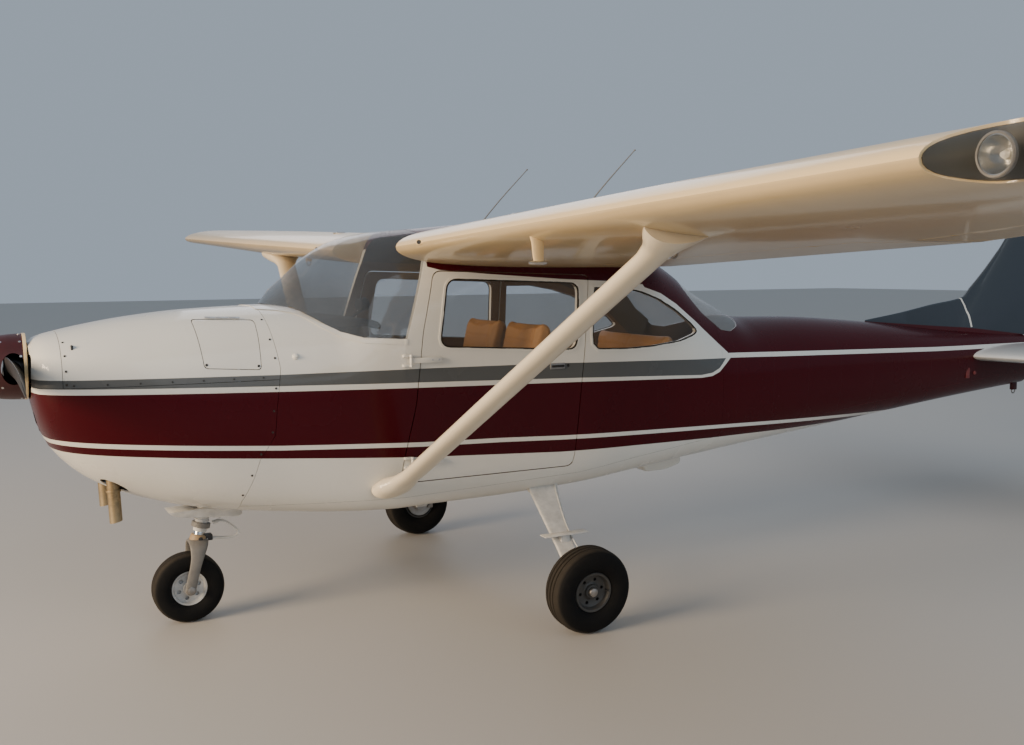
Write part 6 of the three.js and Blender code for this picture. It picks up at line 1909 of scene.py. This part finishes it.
def addPanel():
    x, groups = panelSet["face"], {look: [] for look in ("panelGrey", "black", "dial", "steel", "maroon",
        "bare", "chrome")}
    board = box("panelBoard", 0.618, 0.65, -0.5, 0.5, 1.01, 1.5, 0.004)
    shade = slab("glareShade", rounded(panelSet["shade"], 0.012), "side", -0.5, 0.5)
    subPanel = box("switchRow", 0.64, 0.668, -0.42, 0.42, 1.055, 1.11, 0.006)
    room = bodySolid(0.031)
    for piece, look in ((board, "panelGrey"), (shade, "black"), (subPanel, "black")):
        groups[look].append(within(piece, room, True))
    bpy.data.objects.remove(room)
    gauge, gauges = addGauge(), []
    for y, z in panelSet["gauges"]:
        gauges.append(copyOf(gauge, "gauge"))
        gauges[-1].data.transform(Matrix.Translation((0, y, z)))
    bpy.data.objects.remove(gauge)
    for z in [1.197 + 0.062 * k for k in range(4)]:
        radio = box("radio", x - 0.004, x + 0.006, -0.085, 0.095, z - 0.027, z + 0.027, 0.002)
        groups["black"].append(dished(radio, (1, 0, 0), 0.006, -0.002))
        groups["dial"].append(box("window", x + 0.003, x + 0.0045, -0.06, 0.05, z - 0.011, z + 0.011, 0))
        groups["panelGrey"] += [rod("knob", here(x + 0.004, y, z), here(x + 0.02, y, z), 0.008, 20, 0.001,
            0.0065) for y in (-0.07, 0.078)]
    for y in [-0.36 + 0.042 * k for k in range(9)]:
        groups["panelGrey"].append(box("switch", 0.666, 0.678, y, y + 0.012, 1.074, 1.094, 0.0015))
    for y, look in ((0.08, "black"), (0.14, "maroon"), (0.2, "bare")):
        groups["steel"].append(rod("stem", here(0.645, y, 1.082), here(0.715, y, 1.082), 0.005, 16, 0))
        groups[look].append(rod("cap", here(0.712, y, 1.082), here(0.732, y, 1.082), 0.014, 28, 0.004, 0.017))
    for y in (-0.25, 0.25):
        groups["chrome"].append(rod("column", here(0.64, y, 1.26), here(0.8, y, 1.262), 0.0115, 28,
            0.001))
        groups["black"].append(box("yokeHub", 0.792, 0.812, y - 0.045, y + 0.045, 1.24, 1.282, 0.008))
        groups["black"] += [pipe("grip", [here(along, y + s * out, z) for along, out,
            z in panelSet["grip"]], 0.0115, [0.9, 0.9, 1.0, 1.05, 0.85]) for s in (-1, 1)]
    for y in (-0.31, -0.19, 0.19, 0.31):
        pedal = box("pedal", 0.395, 0.412, y - 0.04, y + 0.04, 0.755, 0.875, 0.004)
        arm = [here(along, y, z) for along, z in ((0.4, 0.86), (0.43, 0.95), (0.5, 1.06), (0.63, 1.1))]
        groups["steel"] += [dished(pedal, (1, 0, 0), 0.008, -0.002), pipe("pedalArm", arm, 0.008)]
    whole = joinedPiece("instrumentPanel", [assembled("fittings", **groups), *gauges])
    finished(whole, "panel_plastic", "instrument_panel", angle=35)
    compass = spun("compass", [(0, -0.03), (0.028, -0.03), (0.034, -0.024), (0.034, 0.018),
        (0.028, 0.026), (0.026, 0.026), (0.024, 0.02), (0, 0.02)], here(0.735, -0.1, 1.575),
        (1, 0.3, 0.15), 40)
    stem = pipe("stem", [here(along, -0.1, z) for along, z in ((0.735, 1.55), (0.705, 1.53),
        (0.67, 1.508))], 0.006)
    finished(assembled("compass", black=[compass, stem]), "panel_plastic")


addPanel()
print("panel made")

# Seats: each pad starts inside its finished size, and the cloth swells it

padSet = {"voxel": 0.008, "benchVoxel": 0.01, "pressure": 4, "frames": 20, "cap": 0.02, "fill": 0.7}


def puffed(piece, voxel):
    step = piece.modifiers.new("even", "REMESH")
    step.mode = "VOXEL"
    step.voxel_size = voxel
    activate(piece)
    bpy.ops.object.modifier_apply(modifier=step.name)
    before = [point.co.copy() for point in piece.data.vertices]
    scene = bpy.context.scene
    scene.frame_set(1)
    cloth = piece.modifiers.new("cloth", "CLOTH")
    cloth.settings.quality = 4
    cloth.settings.use_pressure = True
    cloth.settings.uniform_pressure_force = padSet["pressure"]
    cloth.settings.effector_weights.gravity = 0
    cloth.point_cache.frame_end = padSet["frames"]
    for number in range(1, padSet["frames"] + 1):
        scene.frame_set(number)
    activate(piece)
    bpy.ops.object.modifier_apply(modifier=cloth.name)
    for point, old in zip(piece.data.vertices, before):
        move = point.co - old
        if move.length > padSet["cap"]:
            point.co = old + move.normalized() * padSet["cap"]
    scene.frame_set(1)
    return piece


# Sewn lines: a groove where the measured distance to a line is small
def sewn(piece, distance, depth=0.005, width=0.007):
    piece.data.update()
    pushes = []
    for point in piece.data.vertices:
        away = distance(point.co) / width
        pushes.append(point.normal * (-depth * math.exp(-away * away)))
    for point, push in zip(piece.data.vertices, pushes):
        point.co += push
    return piece


def addPad(name, outline, y0, y1, voxel, line, acrossSpots, node):
    pad = slab(name, rounded(outline, 0.035), "side", y0 + 0.016, y1 - 0.016)
    puffed(bevelled(pad, 0.022, 3, 40), voxel)
    a, b = Vector(line[0]), Vector(line[1])
    way = (b - a).normalized()

    def nearest(co):
        along = (Vector((co.x + midStation, co.z)) - a).dot(way)
        share = min(abs(along - t * (b - a).length) for t in (0.2, 0.4, 0.6, 0.8))
        edge = min(abs(co.y - y) for y in acrossSpots)
        return min(share if min(acrossSpots) < co.y < max(acrossSpots) else 1, edge)
    subdivided(sewn(pad, nearest))
    finished(pad, "leather", node, look="leather", angle=60)


def addSeats():
    for side, name in ((-1, "left"), (1, "right")):
        y = side * 0.26
        y0, y1 = y - 0.23, y + 0.23
        node, across = "seat_cushion_" + name, [y0 + 0.075, y1 - 0.075]
        addPad(name + "SeatPad", [(1.047, 0.826), (1.43, 0.826), (1.43, 0.897), (1.056, 0.926)], y0, y1,
               padSet["voxel"], [(1.04, 0.93), (1.5, 0.9)], across, node)
        addPad(name + "SeatBack", [(1.45, 0.868), (1.53, 0.858), (1.67, 1.452), (1.612, 1.484)],
            y0 + 0.003, y1 - 0.003, padSet["voxel"], [(1.44, 0.85), (1.62, 1.49)], across, node)
        rails = [box("rail", 1.04, 1.52, at, at + 0.022, 0.612, 0.632,
            0.003) for at in (y - 0.185, y + 0.163)]
        legs = [pipe("seatLeg", [here(x, at, 0.625), here(x + 0.02, at, 0.72), here(x + 0.02, at, 0.8)],
            0.012) for x in (1.095, 1.45) for at in (y - 0.174, y + 0.174)]
        pan = box("seatPan", 1.062, 1.498, y0 + 0.017, y1 - 0.017, 0.7905, 0.8115, 0.006)
        slide = pipe("adjustBar", [here(1.075, y0 + 0.06, 0.77), here(1.05, y0 + 0.1, 0.765),
                                   here(1.05, y1 - 0.1, 0.765), here(1.075, y1 - 0.06, 0.77)], 0.006)
        seatFrame = assembled(name + "SeatFrame", steel=[*rails, *legs, slide], black=[pan])
        finished(seatFrame, "steel", "seat_frame_" + name)
        buckle = box("buckle", 1.3, 1.36, y - 0.027, y + 0.027, 0.944, 0.956, 0.004)
        strap = pipe("lapStrap", [here(1.462, y0 + 0.03, 0.93), here(1.4, y0 + 0.11, 0.955),
            here(1.34, y, 0.95), here(1.4, y1 - 0.11, 0.955), here(1.462, y1 - 0.03, 0.93)], 0.016)
        for point in strap.data.vertices:  # pressed flat
            point.co.z = 0.942 + (point.co.z - 0.942) * 0.25 + 0.002
        finished(assembled(name + "LapBelt", webbing=[strap], chrome=[buckle]), "steel")
    for name, outline, half, line in (
            ("rearBenchPad", [(1.966, 0.836), (2.345, 0.836), (2.345, 0.915), (1.974, 0.944)], 0.415,
             [(1.95, 0.95), (2.42, 0.93)]),
            ("rearBenchBack", [(2.372, 0.886), (2.432, 0.878), (2.54, 1.362), (2.482, 1.384)], 0.4,
             [(2.36, 0.87), (2.48, 1.39)])):
        addPad(name, outline, -half, half, padSet["benchVoxel"], line, [-0.36, 0.0, 0.36],
            "seat_cushion_rear")
    base = box("rearBenchBase", 1.992, 2.418, -0.398, 0.398, 0.645, 0.8195, 0.01)
    within(base, bodySolid(0.031))
    finished(dished(base, (-1, 0, 0), 0.03, -0.006), "bench_base", "seat_frame_rear", look="carpet")


addSeats()
print("seats made")

# Wing fittings

whipSet = {"foot": (1.695, 0.6), "tip": (2.09, 0.604, 2.376)}


def addWhips():
    (x, y), top = whipSet["foot"], here(*whipSet["tip"])
    base = spun("base", [(0.0, 1.885), (0.017, 1.885), (0.017, 1.925), (0.0125, 1.936), (0.0105, 1.95),
                         (0.007, 1.966), (0.0, 1.966)], here(x, y, 0), (0, 0, 1), 28)
    whip = pipe("whip", [here(x, y, 1.96), here(x + 0.185, y + 0.002, 2.165), top], 0.0044, [1, 0.85, 0.65])
    tip = primitive("ball", "tip", segments=16, ring_count=10, radius=0.006, location=top)
    stretched(tip, (1.0, 1.0, 0.8), top)
    onBothSides(assembled("rightWhip", white=[base], castGrey=[whip, tip]), "steel")


pitotSet = {"y": 1.8, "rings": [  # station, half length, half width, height
    (0.838, 0.04, 0.016, 1.905), (0.84, 0.03, 0.01, 1.872), (0.843, 0.0265, 0.0085, 1.85),
    (0.846, 0.024, 0.0075, 1.8), (0.848, 0.021, 0.006, 1.776), (0.849, 0.012, 0.003, 1.771)]}


def addPitot():
    y = pitotSet["y"]
    mast = lofted("mast", [[here(x + long * c, y + wide * s, z) for c, s in circle(28)]
                           for x, long, wide, z in pitotSet["rings"]])
    tube = spun("tube", [(0.003, 0.0), (0.0048, 0.0), (0.0078, 0.014), (0.008, 0.022), (0.008, 0.064),
                         (0.0045, 0.076), (0.0, 0.076), (0.0, 0.02), (0.003, 0.02)],
                here(0.806, y, 1.776), (1, 0, 0), 28)
    carve(mast, wholeWing, keepTool=True)
    whole = assembled("pitotMast", cream=[largestBody(mast)], bare=[tube])
    finished(turnedOver(whole), "skin_white")


# The landing light's cavity: a dark lining, two reflector lamps and the curved cover
def addLandingLight():
    thin = lofted("thinWing", [wingRing(y, 0.915, 0.005) for y in (3.5, 3.64, 3.87, 4.1, 4.24)])
    cover = turnedOver(carve(copyOf(lampBlock, "lampCover"), thin, keepTool=True))
    finished(largestBody(cover), "glass", "landing_light_lens", look="lens")
    lining = carve(within(copyOf(lampBlock, "lampLining"), thin), lampZone(-0.004))
    finished(turnedOver(lining), "panel_plastic", look="lampRoom")
    for number, y in enumerate((3.77, 3.935)):
        back, way = here(wingAt(y)[1] + 0.128, y, wingAt(y)[2] - 0.004), (-1, 0, -0.04)
        bowl = spun("bowl", [(0.004, 0.0), (0.022, 0.006), (0.036, 0.02), (0.0435, 0.04), (0.047, 0.041),
                             (0.047, 0.044), (0.042, 0.044), (0.033, 0.024), (0.02, 0.01), (0.004, 0.004)],
                    back, way, 56)
        ring = spun("ring", [(0.0455, 0.034), (0.05, 0.034), (0.051, 0.044), (0.0485, 0.0475),
            (0.0445, 0.0465)], back, way, 56)
        bulb = spun("bulb", [(0.0, 0.002), (0.007, 0.004), (0.009, 0.014), (0.006, 0.022), (0.0, 0.024)],
            back, way, 24)
        lamp = assembled("landingLamp%d" % (number + 1), mirror=[bowl], lampGlow=[bulb], castGrey=[ring])
        finished(turnedOver(lamp), "steel")
        face = spun("lampFace%d" % (number + 1), [(0.0, 0.046), (0.03, 0.0445), (0.0435, 0.0405),
            (0.0435, 0.0385), (0.03, 0.042), (0.0, 0.0435)], back, way, 56)
        finished(turnedOver(face), "glass", look="lens")


def wingSurface(y, u, upper=True, lift=0.0):
    way = 1 if upper else -1
    return wingPoint(y, u, camberAt(u) + way * (halfThickness(u, wingSet["thickness"]) + lift / wingAt(y)[0]))


# A ring of wire that hangs from a lug
def tieRing(centre, radius, wire, stretch):
    ring = primitive("torus", "tieRing", location=centre, rotation=(math.pi / 2, 0, 0), major_radius=radius,
                     minor_radius=wire, major_segments=32, minor_segments=10)
    return stretched(ring, stretch, centre)


def lampBall(name, radius, centre, stretch):
    ball = primitive("ball", name, segments=28, ring_count=16, radius=radius, location=centre)
    return stretched(ball, stretch, centre)


def addWingHardware():
    cap, foot = wingSurface(1.25, 0.18), wingSurface(2.25, 0.24, False, -0.004).z
    tipLight = here(wingAt(5.43)[1] + 0.155, 5.488, wingAt(5.43)[2] - 0.012)
    nose = wingPoint(0.8, 0.0, 0.0) + Vector((-0.0005, 0, 0.004))
    for side, name in ((1, "right"), (-1, "left")):
        rim = spun("rim", [(0.0, -0.004), (0.048, -0.004), (0.05, 0.001), (0.046, 0.004), (0.036, 0.0045),
                           (0.034, 0.002), (0.0, 0.002)], cap, (0, -0.04, 1), 48)
        station = cap.x + midStation
        lever = box("lever", station - 0.026, station + 0.026, cap.y - 0.007, cap.y + 0.007, cap.z + 0.002,
                    cap.z + 0.008, 0.002)
        lug = box("lug", 1.128, 1.172, 2.236, 2.264, foot - 0.03, foot + 0.006, 0.004)
        ring = tieRing(here(1.15, 2.25, foot - 0.04), 0.017, 0.0038, (0.9, 1.0, 1.1))
        light = lampBall(name + "WingLight", 0.022, tipLight, (1.7, 0.9, 0.8))
        painted(light, "greenLens" if side > 0 else "redLens")
        for piece in (assembled(name + "FuelCap", bare=[rim], steel=[lever]),
                      assembled(name + "TieRing", cream=[lug], steel=[ring]), light):
            finished(piece if side > 0 else turnedOver(piece), "steel")
    low = wingSurface(2.36, 0.14, False).z
    vent = pipe("fuelVent", [here(1.02, -2.36, low + 0.01), here(1.03, -2.36, low - 0.03),
        here(1.05, -2.36, low - 0.075)], 0.007)
    finished(vent, "steel", look="bare")
    for side, name in ((1, "right"), (-1, "left")):
        spot = Vector((nose.x, side * nose.y, nose.z))
        lip = spun("lip", [(0.0125, -0.02), (0.0165, -0.02), (0.0175, 0.0), (0.0155, 0.003), (0.013, 0.002)],
                   spot, (-1, 0, 0), 32)
        plug = spun("plug", [(0.0, -0.018), (0.0132, -0.018), (0.0132, 0.0008), (0.0, 0.0002)], spot,
            (-1, 0, 0), 32)
        inlet = assembled(name + "AirInlet", cream=[lip], black=[plug])
        inlet.data.transform(Matrix.Translation(spot) @ Matrix.Diagonal((1, 2.2, 0.8,
            1)) @ Matrix.Translation(-spot))
        finished(inlet, "skin_white")


addWhips()
addPitot()
addLandingLight()
addWingHardware()


def addTailHardware():
    plate = box("liftPlate", 5.215, 5.25, -0.004, 0.0035, 0.955, 1.03, 0.0015)
    knob = spun("liftKnob", [(0, -0.004), (0.014, -0.004), (0.014, 0.004), (0.01, 0.009), (0, 0.01)],
                here(5.312, 0, 0.99), (0, -1, 0), 28)
    for piece, x, z in ((plate, 5.232, 0.992), (knob, 5.312, 0.99)):
        piece.data.transform(Matrix.Translation((0, -skinSpot(x, z)[0].y, 0)))
    finished(assembled("tailSidePlate", redPlate=[plate, knob]), "skin_maroon")
    tie = box("tie", 5.95, 6.000, -0.014, 0.014, 0.812, 0.88, 0.004)
    ring = tieRing(here(5.975, 0, 0.806), 0.018, 0.004, (1.0, 1.0, 1.15))
    finished(assembled("tailTie", maroon=[tie], steel=[ring]), "steel")
    light = lampBall("tailLight", 0.02, here(rudderTrailing(1.45) - 0.004, 0, 1.45), (1.0, 0.7, 1.2))
    finished(light, "glass", look="lens", body="rudder")
    beacon = spun("beacon", [(0.0, -0.01), (0.04, -0.01), (0.042, 0.004), (0.036, 0.012),
        (0.034, 0.03), (0.026, 0.046), (0.012, 0.054), (0.0, 0.055)], here(6.5, 0, finTop - 0.004),
        (0, 0, 1), 44)
    finished(beacon, "glass", look="redLens")
    outline = [(2.52, 0.66), (2.531, 0.545), (2.556, 0.506), (2.714, 0.51), (2.816, 0.539), (2.826, 0.66)]
    fairing = bevelled(slab("bellyFairing", rounded(outline, 0.02, 8), "side", -0.055, 0.055), 0.018, 4, 40)
    carve(fairing, outerBody, keepTool=True)
    finished(largestBody(fairing), "skin_white", look="white")


addTailHardware()
print("fittings made")

for template in (outerBody, cowlInner, cabinInner, glassInner, proudBody, wholeWing, lampBlock):
    bpy.data.objects.remove(template)

# CAD nodes that stay as they are

for node, look in (("firewall", "bare"), ("engine_block", "casting")):
    for place in cadNodes[node].material_slots:
        place.material = looks[look]


def addFloor():
    shader = Shader("paleFloor", Roughness=0.6)
    tone = shader.mix(shader.noise(0.8, 4, 0.6) * 0.12, (0.47, 0.445, 0.41), (0.41, 0.385, 0.35))
    shader.feed(Base_Color=tone)
    bpy.ops.object.select_all(action="DESELECT")
    bpy.ops.mesh.primitive_plane_add(size=120, location=(0, 0, 0))
    floor = bpy.context.object
    floor.name = "floor"
    floor.data.materials.append(shader.material)


addFloor()
print("floor and finishes set")
